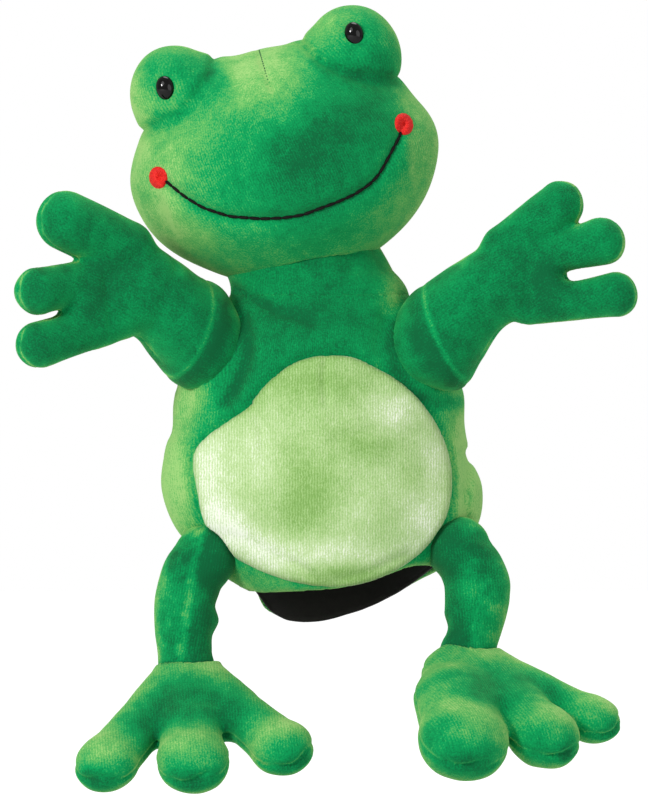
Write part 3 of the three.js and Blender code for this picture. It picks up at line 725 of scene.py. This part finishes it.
def belly_field(p):
    x, y, z = p.T
    edge = patch_edge(x, z)
    puff = 1.9 + 0.8 * clip01(-edge / 30) + 0.45 * noise(p, 18, 2.1) + 0.2 * noise(p, 7, 9.7)
    f = loft(p, GLOVE) - puff
    for points, depth, width in BELLY_CREASES:
        f += depth * bell(from_line(x, z, points), width)
    f = smooth_max(f, edge, 2.6)
    f = smooth_max(f, -(loft(p, GLOVE) + 1.2), 0.8)
    for centre in HIPS.values():
        f = smooth_max(f, HIP_BALL + 1.1 - lengths(p - centre), 1.0)
    return np.maximum(f, y + 3)


def build_belly():
    points, faces, _ = skinned(belly_field, (-64, -48, 2), (54, 0, 104), step=1.2)
    x, _, z = points.T
    # Pile tone in patches, with painted light at the sides and painted shade in the creases
    nap_and_painted_light = 0.34 + 0.1 * noise(points, 14, 6.4) + blobs(x, z, [
        (-50, 50, 10, 26, 0.5), (-42, 30, 12, 10, 0.42), (-20, 20, 20, 8, 0.4), (-30, 56, 8, 20, 0.2),
        (10, 20, 20, 7, 0.3), (36, 32, 10, 14, 0.34), (40, 56, 7, 18, 0.28), (24, 76, 12, 12, 0.3),
        (12, 40, 16, 14, 0.1), (-4, 88, 26, 8, -0.2), (-12, 44, 12, 20, -0.16), (6, 13, 14, 4, -0.3),
        (12, 62, 14, 6, -0.12),
    ])
    # Painted shade along the patch's edge, in its seam groove
    nap_and_painted_light -= 0.16 * bell(patch_edge(x, z), 1.4)
    piece = new_piece(
        "belly_panel", points, faces, "glove", ["belly_patch"], [PALE], nap_and_painted_light, rib_rows(x),
    )


def build_neck():
    around, tall, high, lean = 96, 20, 25, 9.6
    angle = turns(around)
    rows = []
    for share in np.linspace(0, 1, tall):
        z = NECK_TOP - 1 + high * share
        x, y, wide, deep = section(GLOVE, np.array([min(z, 133)]))
        inset = 0.3 * (1 - share) + 3.4 * share**2
        fold = (0.7 * np.sin(angle * 9 + 1.3) + 0.5 * np.sin(angle * 4 + 0.4)) * share
        px = x - lean * share + (wide - inset - 1.4 * share + fold) * np.cos(angle)
        py = y + (deep - inset + fold) * np.sin(angle)
        rows.append(np.stack([px, py, np.full(around, z)], -1))
    points = np.concatenate(rows)
    on_glove, normals = settled(lambda q: glove_skin(q) + 0.12, points, 2.0)
    share = clip01(1 - (points[:, 2] - NECK_TOP - 1) / 8)[:, None]
    points = share * on_glove + (1 - share) * points
    # The glove's pile tone with its painted light and shade, including painted shade under the chin
    nap_and_painted_light = glove_nap_and_painted_light(points, normals)
    piece = new_piece(
        "neck_band", points, ring_faces(tall, around), None, ["neck_collar"], [GREEN], nap_and_painted_light,
        rib_rows(glove_across(points)),
    )
    thicken(piece, 0.0018, -1)
    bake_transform(piece)


# Head

HEAD = Place(PIVOT["head_tilt"], np.array([
    [np.cos(HEAD_TILT), 0, -np.sin(HEAD_TILT)], [0, 1, 0], [np.sin(HEAD_TILT), 0, np.cos(HEAD_TILT)],
]))
SKULL = (0.6, 0, 63.5), (61.8, 43, 47)
TURRETS = [((36.2, -9, 99), (19.2, 19, 21)), ((-36, -9, 98.6), (18.6, 19, 20.8))]
# Dents and bulges of the skull: x, z, width and depth
DENTS = [(-40, 34, 16, 1.2), (57, 80, 9, 1.6), (61.5, 61, 9, -0.7), (-61, 68, 10, -0.9)]
NECK_BALL = 33.2  # radius of the round hollow that turns on the neck
MOUTH = np.array([
    (-50, 69.7), (-46.8, 65.6), (-41.4, 58.6), (-35, 52.5), (-25.4, 46.9), (-13.7, 43.4), (-5, 41.8), (2.8, 41.3),
    (17.2, 43.3), (25, 45), (31.1, 47.4), (35.2, 50), (37.8, 52.6), (42.7, 58.4), (47.7, 64.3), (50.2, 69),
])
TURRET_FOLDS = [
    [(-18.2, 111.5), (-21.7, 104.5), (-27.4, 98), (-35.6, 92.1), (-47.1, 89.2), (-53, 88)],
    [(16.1, 109.4), (23.2, 99.4), (34, 92.4), (44.1, 89.2), (53.4, 85.8)],
]


def mouth_height(x):
    return smoothed(x, MOUTH, (-1.6, -0.8, 0, 0.8, 1.6))


def head_field(p, hollow=True):
    x, y, z = p.T
    q = p.copy()  # the face is fuller than the back of the head, most of all round the mouth
    q[:, 1] = y / np.where(y < 0, 1 + 0.06 * (1 - clip01(np.abs((z - 63.5) / 47 + 0.25) * 1.4)), 0.98)
    skull = ovoid(q, *SKULL)
    for dent_x, dent_z, width, depth in DENTS:
        skull += depth * bell(np.hypot(x - dent_x, z - dent_z), width)
    skull -= 0.9 * noise(p, 30, 1.7)
    eyes = np.minimum(*[ovoid(p, *turret) for turret in TURRETS]) - 0.4 * noise(p, 14, 3.3)
    inward = clip01((38 - np.abs(x)) / 20)
    f = smooth_min(skull, eyes, np.where(x < 0, 7, 5) + 8 * inward)
    f += (1.3 - 0.3 * inward) * bell(skull - eyes, 2.6) * bell(f, 6)
    front = clip01(-y / 10)
    span = clip01((MOUTH_HALF + 2 - np.abs(x)) / 4)
    # A groove for the mouth's thread, and a lip below it
    below = z - mouth_height(x)
    slope = 1 / np.sqrt(1 + (mouth_height(x + 1) - mouth_height(x - 1)) ** 2 / 4)
    f += front * span * 1.5 * bell(below * slope, 1.9)
    f -= front * span * 1.3 * bell(below * slope + 7.5, 6)
    # Seams of brow, chin, turrets, the back and the sides; then dimples at the eyes and the knots
    f += front * 1.1 * bell(from_line(x, z, [(-1, 113), (-0.5, 104), (1.5, 92)]), 0.9)
    f += front * 0.5 * bell(from_line(x, z, [(1, 14), (0.5, 26)]), 0.9)
    for fold in TURRET_FOLDS:
        f += front * 0.9 * bell(from_line(x, z, fold), 1.6)
    f += (y > 0) * 0.6 * bell(x, 1.0)
    f += 0.9 * bell(y - 9, 1.3) * clip01((96 - z) / 10)
    for eye_x, eye_z in EYES.values():
        f += front * 1.6 * bell(np.hypot(x - eye_x, (z - eye_z) * 0.85), 5.6)
    for side in (-1, 1):
        f += front * 1.0 * bell(np.hypot(x - side * MOUTH_HALF, z - MOUTH_CORNER), 4.2)
    if hollow:
        f = smooth_max(f, NECK_BALL - lengths(p), 1.2)
    return f


def front_of_head(x, z):
    """The y of the head's front surface, by halving."""
    near, far = np.full(len(x), -62.0), np.full(len(x), -3.0)
    for _ in range(26):
        middle = (near + far) / 2
        inside = head_field(np.stack([x, middle, z], -1), hollow=False) < 0
        far = np.where(inside, middle, far)
        near = np.where(inside, near, middle)
    return (near + far) / 2


def build_head():
    points, faces, normals = skinned(head_field, (-68, -52, 8), (68, 48, 126), step=1.35)
    x, y, z = points.T
    # Painted sheen: lighter where the head faces sideways
    nap_and_painted_light = 0.4 + 0.5 * painted_edge_sheen(normals)
    # Patches on the front: painted light on the forehead and cheeks, painted shade in the middle of the face and
    # beside the eyes
    nap_and_painted_light += (y < 8) * blobs(x, z, [
        (-6, 98, 34, 15, 0.42), (-40, 78, 20, 14, 0.26), (-40, 46, 18, 14, 0.24), (14, 62, 26, 17, -0.34),
        (34, 78, 16, 14, -0.16), (56, 66, 7, 18, 0.25), (44, 38, 14, 12, 0.16), (4, 30, 26, 8, -0.04),
        (-24, 104, 8, 9, -0.26), (-38, 90, 12, 5, -0.1), (46, 92, 11, 9, -0.3), (-52, 104, 6, 14, 0.2),
        (30, 112, 9, 9, 0.18), (-38, 103, 6, 7, -0.1), (38, 104, 6, 7, -0.1), (-50, 62, 9, 18, 0.3),
        (-18, 100, 5, 8, -0.2), (22, 92, 8, 6, -0.14),
    ])
    # Painted shade under the chin
    nap_and_painted_light = np.where(z < 22, nap_and_painted_light - 0.1, nap_and_painted_light)
    # Painted shade in the mouth's groove
    nap_and_painted_light -= 0.16 * bell(z - mouth_height(x), 3.0) * (np.abs(x) < MOUTH_HALF) * (y < 0)
    # Painted shade along the turrets' creases
    for fold in TURRET_FOLDS:
        nap_and_painted_light -= 0.2 * bell(from_line(x, z, fold), 3.2) * (y < 0) * (0.8 + noise(points, 5, 3.1))
    rows = rib_rows(54 * np.arctan2(x, 4 - y) + 0.25 * z, 1 - 0.9 * np.abs(normals[:, 2]))
    piece = new_piece(
        "head_plush", HEAD.out(points), faces, "head",
        ["face_panel", "chin_panel", "head_back", "head_stuffing", "right_turret_cover", "left_turret_cover",
         "right_turret_stuffing", "left_turret_stuffing"],
        [GREEN], nap_and_painted_light, rows,
    )
    build_pocket()
    build_mouth()
    build_dart()
    for side, name in ((-1, "right"), (1, "left")):
        build_eye(name, *EYES[name])
        build_knot(name, side)
        washer = frame["nodes"][f"{name}_eye_washer"]
        washer.data.materials.clear()
        washer.data.materials.append(WHITE_PLASTIC)


def build_pocket():
    around = 32
    angle = turns(around)
    profile = [(12, NECK_BALL), (11.6, 36), (12, 44), (11.8, 52), (10.2, 56), (6.5, 59), (2, 60.2)]
    points = np.concatenate([
        np.stack([r * np.cos(angle), r * np.sin(angle), np.full(around, z)], -1) for r, z in profile
    ])
    piece = new_piece(
        "finger_pocket", HEAD.out(points), ring_faces(len(profile), around), "head", ["head_finger_pocket"],
        [LINING], rows=points[:, [0, 2]],
    )
    thicken(piece, 0.0009, -1)


def tube_along(path, radius, sides):
    """A closed tube along points, with a radius for each."""
    tangent = np.gradient(path, axis=0)
    tangent /= lengths(tangent)[:, None]
    side = np.cross(tangent, (0, 1, 0))
    side /= lengths(side)[:, None]
    outward = np.cross(side, tangent)
    angle = turns(sides)
    ring = np.cos(angle)[None, :, None] * side[:, None] + np.sin(angle)[None, :, None] * outward[:, None]
    points = (path[:, None] + ring * radius[:, None, None]).reshape(-1, 3)
    return points, ring_faces(len(path), sides)[:, [0, 3, 2, 1]]


def stitches(path, step, filled, radius, lift):
    """Stitches along a path, each a short tube that rises in its middle."""
    length = np.concatenate([[0], np.cumsum(lengths(np.diff(path, axis=0)))])
    rings, sides = 9, 10
    share = np.linspace(0, 1, rings)
    points, faces, start = [], [], 0
    for i in range(int(length[-1] / step)):
        part = path[(length >= i * step) & (length <= (i + filled) * step)]
        part = part[np.linspace(0, len(part) - 1, rings).astype(int)]
        part = part - np.array([0, 1, 0]) * lift * np.sin(share * np.pi)[:, None]
        p, f = tube_along(part, radius * (1 - (2 * share - 1) ** 6 * 0.7), sides)
        points.append(p)
        faces.append(f + start)
        start += len(p)
    return np.concatenate(points), np.concatenate(faces)


def build_mouth():
    x = np.linspace(-MOUTH_HALF + 2.5, MOUTH_HALF - 1.2, 900)
    z = mouth_height(x)
    path = np.stack([x, front_of_head(x, z) - 0.25, z], -1)
    points, faces = stitches(path, step=4.4, filled=1.12, radius=0.62, lift=0.35)
    new_piece("mouth_stitches", HEAD.out(points), faces, "head", ["mouth_thread"], [BLACK_THREAD])


def build_dart():
    z = np.linspace(110, 92, 300)
    x = 1.2 - 1.2 * (z - 92) / 18
    path = np.stack([x, front_of_head(x, z) + 0.05, z], -1)
    points, faces = stitches(path, step=1.7, filled=0.7, radius=0.24, lift=0.1)
    new_piece("forehead_stitches", HEAD.out(points), faces, "head", None, [DARK_THREAD])


def build_knot(name, side):
    around, rings, half_wide, half_high = 56, 12, 4.0, 4.8
    angle = turns(around)
    points = [np.array([[side * MOUTH_HALF, 0, MOUTH_CORNER]])]
    lift = [np.array([0.6])]
    for i in range(1, rings + 1):
        share = i / rings
        ridge = 0.14 * np.sign(np.sin(angle * 14)) * np.sin(share * np.pi) * (share > 0.3)
        points.append(np.stack([
            side * MOUTH_HALF + (half_wide + ridge) * share * np.cos(angle), np.zeros(around),
            MOUTH_CORNER + (half_high + ridge) * share * np.sin(angle),
        ], -1))
        lift.append(np.full(around, 0.6 + 1.5 * np.sin(share**0.8 * np.pi) - 1.4 * share**6) + ridge)
    points = np.concatenate(points)
    points[:, 1] = front_of_head(points[:, 0], points[:, 2]) - np.concatenate(lift)
    fan = [(0, 1 + (k + 1) % around, 1 + k) for k in range(around)]
    faces = np.array([*fan, *(ring_faces(rings, around) + 1).tolist()], dtype=object)
    new_piece(
        f"{name}_cheek_knot", HEAD.out(points), faces, "head", [f"{name}_cheek_dot"], [RED_THREAD],
    )


def build_eye(name, eye_x, height):
    across, up, bulge = 3.8, 5.0, 3.4
    seat = front_of_head(np.array([eye_x]), np.array([height]))[0]
    around, rings = 64, 20
    angle = turns(around)
    dome = [(np.sin(t), np.cos(t)) for t in np.linspace(0.08, np.pi / 2, rings)]
    profile = [(0.02, 1.0), *dome, (1.0, -0.12), (0.9, -0.2)]
    points = np.concatenate([
        np.stack([
            eye_x + across * radius * np.cos(angle), np.full(around, seat - bulge * out + 0.5),
            height + up * radius * np.sin(angle),
        ], -1) for radius, out in profile
    ])
    new_piece(
        f"{name}_eye_dome", HEAD.out(points), ring_faces(len(profile), around), "head", [f"{name}_eye"],
        [EYE_BLACK],
    )


# Arms

# Sleeve stations: z, x, half width, half depth. Fingers: x and z of root and tip, and their radii.
ARMS = {
    "right": {
        "side": -1, "elevation": 24.8, "forward": 31,
        "sleeve": [
            (0, 2.2, 21, 19.2), (12, 4.8, 18.8, 18.8), (25, 7.7, 17.5, 16), (38, 6.6, 19.8, 13),
            (50, 1, 20.5, 10.5), (62, -3, 20, 8.5),
        ],
        "fingers": [(19.8, 45, 17.8, 74.4, 11.8, 12), (8, 46, -12.6, 73.5, 7.5, 10), (-7, 36, -31.5, 64.5, 8, 9.6)],
    },
    "left": {
        "side": 1, "elevation": 29.5, "forward": 18.5,
        "sleeve": [
            (0, 0.4, 21, 18.6), (12, 4, 18.8, 18.4), (25, 7.4, 16.2, 15.6), (38, 7.6, 16.4, 12.6),
            (50, 6.4, 18, 10.4), (62, 0, 19, 8.5),
        ],
        "fingers": [(19.4, 44, 22.2, 72.2, 9, 9.6), (9.4, 48, 1, 79.6, 7, 10), (-7, 41, -20, 74.4, 6.8, 9.4)],
    },
}


def arm_place(name, arm):
    up, forward = np.radians(arm["elevation"]), np.radians(arm["forward"])
    along = (arm["side"] * np.cos(up) * np.cos(forward), -np.cos(up) * np.sin(forward), np.sin(up))
    return Place(SHOULDER[name], axes_along(along, (0, 0, 1)))


def arm_skin(name, arm):
    ball = [(z, np.sqrt((SHOULDER_RADIUS[name] + 0.2) ** 2 - z**2)) for z in (-18, -14, -8)]
    table = table_of(
        [(z, 0, 0, radius, radius) for z, radius in ball]
        + [(z, x, 0, wide, deep) for z, x, wide, deep in arm["sleeve"]]
    )
    palm = arm["sleeve"][4][1]

    def skin(p):
        x, y, z = p.T
        hand = None
        for base_x, base_z, tip_x, tip_z, base_radius, tip_radius in arm["fingers"]:
            digit = tube(p, (base_x, 0, base_z), (tip_x, 0, tip_z), base_radius, tip_radius, 0.92)
            hand = digit if hand is None else smooth_min(hand, digit, 2.5)
        f = smooth_min(smooth_max(loft(p, table), z - 60, 6), hand, 4)
        wobble = noise(p, 4.5, 4.4)
        f -= 0.6 * noise(p, 17, 6.1) + 0.25 * noise(p, 7, 8.2)
        seam = clip01((z - 8) / 6)  # round the edge of sleeve and hand
        f += seam * (0.8 + 0.35 * wobble) * bell(y + 0.5 * wobble, 0.9)
        # A dimple and creases in the palm, then the sleeve's seam
        facing = clip01(y * arm["side"] / 4)
        f += facing * 1.8 * bell(np.hypot((x - palm) / 1.4, (z - 52) * 0.8), 7)
        f += facing * 0.9 * bell(from_line(x, z, [(palm + 16, 44), (palm + 2, 52), (palm - 14, 42)]), 1.8)
        f += facing * 0.7 * bell(from_line(x, z, [(20, 26), (7, 29), (-6, 25)]), 2.2)
        return f + 0.35 * bell(z - 5 - 0.12 * x, 1.3)

    return skin


def build_arm(name, arm):
    place = arm_place(name, arm)
    skin = arm_skin(name, arm)

    def shell(p):
        outer = skin(p)
        pocket = smooth_max(outer + 2.6, p[:, 2] - 45, 4)
        return smooth_max(smooth_max(outer, -pocket, 0.6), -16 - p[:, 2], 1.2)

    points, faces, normals = skinned(shell, (-46, -26, -21), (38, 26, 93), step=1.2)
    x, y, z = points.T
    # Painted sheen at the sides, broken up by noise
    broken = 0.8 + 0.7 * noise(points, 5, 2.2)
    nap_and_painted_light = 0.18 + 0.6 * painted_edge_sheen(place.turn(normals)) * broken
    # Lighter along the outline seam, partly the seam's pile and partly a painted highlight at the edge; then a light
    # line on the root seam
    nap_and_painted_light += 0.34 * bell(y, 2.2) * (z > 10) * broken + 0.36 * bell(z - 6.6 - 0.12 * x, 1.1)
    # Patches, with painted shade in the palm's dimple
    nap_and_painted_light += blobs(x, z, [(0, 22, 14, 10, 0.06), (-14, 30, 8, 12, 0.12), (0, 52, 12, 8, -0.14)])
    # Painted shade where the arm goes into the glove
    nap_and_painted_light -= 0.25 * bell(z - 1, 4)
    middle = points[faces].mean(axis=1)
    lined = (skin(middle) < -1.2) & (middle[:, 2] > -15)
    piece = new_piece(
        f"{name}_arm_plush", place.out(points), faces, f"{name}_arm",
        [f"{name}_arm_front", f"{name}_arm_back", f"{name}_hand_stuffing", f"{name}_shoulder_gusset"],
        [GREEN, LINING], nap_and_painted_light, rib_rows(x, 0.55 * normals[:, 1]), lined,
    )


# Legs

def leg_place(name):
    hip, ankle = PIVOT[f"{name}_leg_swing"], PIVOT[f"{name}_foot_flap"]
    return Place(hip, axes_along(ankle - hip, (1, 0, 0))), np.linalg.norm(ankle - hip)


def build_leg(name, side, bow):
    place, length = leg_place(name)
    ankle_ball = 11.0
    table = table_of([
        (-20, side, 0, 11.4, 11.4), (0, side * 1.2, 0, 12.4, 12.6), (length * 0.3, side * 0.8, 0, 12.8, 13),
        (length * 0.6, 0, 0, 12.4, 12.4), (length * 0.85, 0, 0, 11.2, 11.2),
        (length + 14, 0, 0, ankle_ball, ankle_ball),
    ])

    def field(p):
        share = clip01(p[:, 2] / length)
        q = p.copy()
        q[:, 0] = p[:, 0] - side * bow * np.sin(np.pi * share**0.85)
        x, y, z = q.T
        f = smooth_max(loft(q, table), -z, 3)
        f = smooth_max(f, z - length, 3)
        f = smooth_min(f, ovoid(p, (0, 0, 0), [HIP_BALL] * 3), 3)
        f = smooth_min(f, ovoid(p, (0, 0, length), [ankle_ball] * 3), 2)
        f -= 0.5 * noise(q, 12, 2.7) + 0.25 * noise(q, 5, 1.1)
        # Wrinkles on the inner side, and the seams at the front and the back
        inner = clip01(-side * x / 6) * clip01((z - 8) / 5) * clip01((length - 4 - z) / 5)
        f += inner * bell(y - 1, 7) * (0.3 - 1.5 * noise(np.stack([0 * z, 0 * z, z], -1), 6.5, 3.1 + side))
        f += (y > 0) * 0.7 * bell(x - 1.2 * np.sin(z / 7), 0.9) * clip01((z - 14) / 6)
        f += (y < 0) * 0.5 * bell(x, 1.0)
        return smooth_max(f, -(loft(place.out(p), GLOVE) + PLUSH + 1.5), 1.0)

    points, faces, normals = skinned(field, (-24, -20, -20), (24, 20, length + 14), step=1.15)
    x, y, z = points.T
    # Painted sheen, stronger on the outer side, with patches and light tufts on the outside
    outside = clip01(side * x / 9 + 0.2)
    nap_and_painted_light = 0.24 + 0.68 * painted_edge_sheen(place.turn(normals)) * (0.3 + 0.7 * outside) + 0.14 * noise(points, 9, 3.9)
    nap_and_painted_light += 0.2 * outside * clip01(noise(points, 2.6, 8.8) + 0.1)
    streak = bell(x - 3.6 * side, 2.4) * (y > 0) * clip01(0.7 * noise(points, 2.2, 1.9) + 0.8)
    nap_and_painted_light += (0.42 if side < 0 else 0.1) * streak - 0.22 * (y > 0) * bell(x + 5 * side, 5)
    # Painted shade where the leg meets the foot and where it goes into the glove
    nap_and_painted_light -= 0.35 * bell(z - length - 4, 5) + 0.3 * bell(z - 2, 7)
    piece = new_piece(
        f"{name}_leg_plush", place.out(points), faces, f"{name}_leg", [f"{name}_leg_cover", f"{name}_leg_stuffing"],
        [GREEN], nap_and_painted_light, rib_rows(x, normals[:, 1]),
    )


# Feet

# Instep stations: z, x, half width. Toes: x and z of root and tip, and their radii.
FEET = {
    "right": {
        "side": -1, "droop": 35.5, "turn": -4.4, "roll": -7.7,
        "instep": [(-4, 0, 13.4), (8, 0, 14), (20, 0, 17.5), (36, 1, 19)],
        "toes": [(-5.3, 8.5, -35.2, 56.4, 11, 12), (0, 10, -0.6, 60, 11, 14), (5.3, 8.5, 35.4, 56.2, 10.6, 12.2)],
    },
    "left": {
        "side": 1, "droop": 33, "turn": 31, "roll": 9,
        "instep": [(-4, -2, 15.4), (8, -6, 18.8), (20, -8.4, 23.6), (36, -6.4, 24)],
        "toes": [(-19, 27, -28.4, 53.4, 16.8, 17.6), (1, 10, 6, 57.7, 11, 14), (4.8, 9.4, 31.6, 51.2, 9.6, 10.8)],
    },
}


def foot_place(name, foot):
    droop, turn, side = np.radians(foot["droop"]), np.radians(foot["turn"]), foot["side"]
    along = (side * np.sin(turn) * np.cos(droop), -np.cos(turn) * np.cos(droop), -np.sin(droop))
    across = (np.cos(turn), side * np.sin(turn), np.sin(np.radians(side * foot["roll"])))
    return Place(PIVOT[f"{name}_foot_flap"], axes_along(along, across))


def build_foot(name, foot):
    place = foot_place(name, foot)
    leg = PIVOT[f"{name}_leg_swing"] - PIVOT[f"{name}_foot_flap"]
    shins = [  # where the leg lies at rest and when the foot is lifted, in the foot's axes
        place.axes.T @ np.array(Quaternion(AXIS[f"{name}_foot_flap"], np.radians(-flap)).to_matrix()) @ leg
        for flap in (0, 13)
    ]
    table = [(z, x, 0, wide, deep) for (z, x, wide), deep in zip(foot["instep"], (9, 10.4, 10.6, 9.2))]
    _, last_x, last_wide = foot["instep"][-1]
    table = table_of(table + [(48, last_x, 0, last_wide * 0.95, 7.6)])
    toes = []
    for root_x, root_z, tip_x, tip_z, root_radius, radius in foot["toes"]:
        root, tip = np.array([root_x, 0, root_z]), np.array([tip_x, 0, tip_z])
        toes.append((root, tip, unit(tip - root), root_radius, radius))

    def field(p):
        x, y, z = p.T
        f = smooth_max(smooth_max(loft(p, table), z - 42, 6), -2.5 - z, 5)
        for root, tip, direction, root_radius, radius in toes:
            shaft = tube(p, root, tip - 5 * direction, root_radius, radius * 0.92, 0.8)
            knob = ovoid(p, tip, (radius, radius * 0.78, radius))
            f = smooth_min(f, smooth_min(shaft, knob, 5), 3.5)
        wobble = noise(p, 4.2, 7.7)
        f -= 0.6 * noise(p, 15, 0.9) + 0.3 * noise(p, 6, 5.5)
        f += (0.7 + 0.4 * wobble) * bell(y + 0.6 * wobble, 0.9)
        for _, tip, direction, _, radius in toes:
            end = tip + direction * (radius - 1)
            across = (x - end[0]) * direction[2] - (z - end[2]) * direction[0]
            beyond = (x - end[0]) * direction[0] + (z - end[2]) * direction[2]
            line = y - 1.5 - 1.2 * np.sin(across / 3.2)  # the seam waves over the toe's end
            f += 1.5 * bell(line, 1.4) * bell(across, 9) * bell(np.minimum(beyond + 4, 0), 7)
        # Room for the ankle, also when the foot is lifted
        f = smooth_max(f, 11.3 - lengths(p), 1.0)
        for shin in shins:
            f = smooth_max(f, -tube(p, (0, 0, 0), shin, 11.9, 12.2), 1.0)
        return f

    points, faces, normals = skinned(field, (-52, -17, -8), (52, 18, 84), step=1.15)
    x, y, z = points.T
    # Painted sheen at the sides, with patches
    nap_and_painted_light = 0.34 + 0.62 * painted_edge_sheen(place.turn(normals)) + 0.12 * noise(points, 10, 4.9)
    # A lighter patch near the ankle, and painted shade on the middle of the instep and between the toes
    nap_and_painted_light += blobs(x, z, [(0, 10, 14, 8, 0.2), (0, 30, 20, 14, -0.34), (-17, 42, 9, 9, -0.2), (17, 42, 9, 9, -0.2)])
    # Painted light on the toes' tops, then painted shade in the seam's crease over each toe's end
    for _, tip, direction, _, radius in toes:
        nap_and_painted_light += 0.26 * bell(np.hypot(x - tip[0], z - tip[2]), 12) * (y > 2)
        end = tip + direction * radius
        nap_and_painted_light -= 0.3 * bell(np.hypot(x - end[0], z - end[2]), 8) * bell(y - 1.5, 5)
    piece = new_piece(
        f"{name}_foot_plush", place.out(points), faces, f"{name}_foot",
        [f"{name}_foot_upper", f"{name}_foot_sole", f"{name}_foot_stuffing"],
        [GREEN], nap_and_painted_light, rib_rows(x, normals[:, 1]),
    )


# Floor and light

def shader(tree, kind, **settings):
    node = tree.nodes.new(f"ShaderNode{kind}")
    for key, value in settings.items():
        node.inputs[key].default_value = value
    return node.outputs[0]


def show_apart(tree, lit, seen, kind):
    """One shader for the light in the room, another for what the camera sees of the stage."""
    rays = tree.nodes.new("ShaderNodeLightPath")
    mix = tree.nodes.new("ShaderNodeMixShader")
    for source, socket in zip((rays.outputs["Is Camera Ray"], lit, seen), mix.inputs):
        tree.links.new(source, socket)
    tree.links.new(mix.outputs[0], tree.nodes.new(f"ShaderNodeOutput{kind}").inputs["Surface"])


def build_stage():
    half = 6.0
    mesh = bpy.data.meshes.new("floor")
    mesh.from_pydata([(-half, -half, 0), (half, -half, 0), (half, half, 0), (-half, half, 0)], [], [(0, 1, 2, 3)])
    floor = new_object("floor", mesh)
    floor.location.z = float(cad_box[0][2]) - 0.036  # below the toes of the lowered feet
    material = bpy.data.materials.new("pale_floor")
    material.use_nodes = True
    tree = material.node_tree
    tree.nodes.clear()
    both = tree.nodes.new("ShaderNodeAddShader")
    tree.links.new(shader(tree, "BsdfDiffuse", Color=(0.3, 0.3, 0.3, 1)), both.inputs[0])
    tree.links.new(shader(tree, "Emission", Strength=0.93), both.inputs[1])
    matt = shader(tree, "BsdfDiffuse", Color=(0.8, 0.8, 0.8, 1))
    show_apart(tree, matt, both.outputs[0], "Material")
    mesh.materials.append(material)


def build_world():
    world = bpy.data.worlds.new("studio")
    bpy.context.scene.world = world
    world.use_nodes = True
    tree = world.node_tree
    tree.nodes.clear()
    room, white = (shader(tree, "Background", Color=(1, 1, 1, 1), Strength=level) for level in (0.45, 1.0))
    show_apart(tree, room, white, "World")


add_camera()
build_stage()
build_world()
add_lamp("key", (-1.1, -1.9, 1.5), (0, 0, 0.1), size=1.4, watts=16)
add_lamp("fill", (1.7, -1.7, 0.5), (0, 0, 0.1), size=1.9, watts=18)
add_lamp("top", (0.2, 0.6, 1.9), (0, 0, 0.1), size=1.2, watts=16)
add_lamp("glint", (-1.3, -1.5, 0.8), (0, 0, 0.15), size=0.4, watts=30)
bpy.context.scene.view_settings.view_transform = "Standard"

build_glove()
build_lining()
build_belly()
build_neck()
build_head()
for arm_name, arm_facts in ARMS.items():
    build_arm(arm_name, arm_facts)
build_leg("right", -1, bow=4.4)
build_leg("left", 1, bow=6.0)
for foot_name, foot_facts in FEET.items():
    build_foot(foot_name, foot_facts)

bpy.context.view_layer.update()
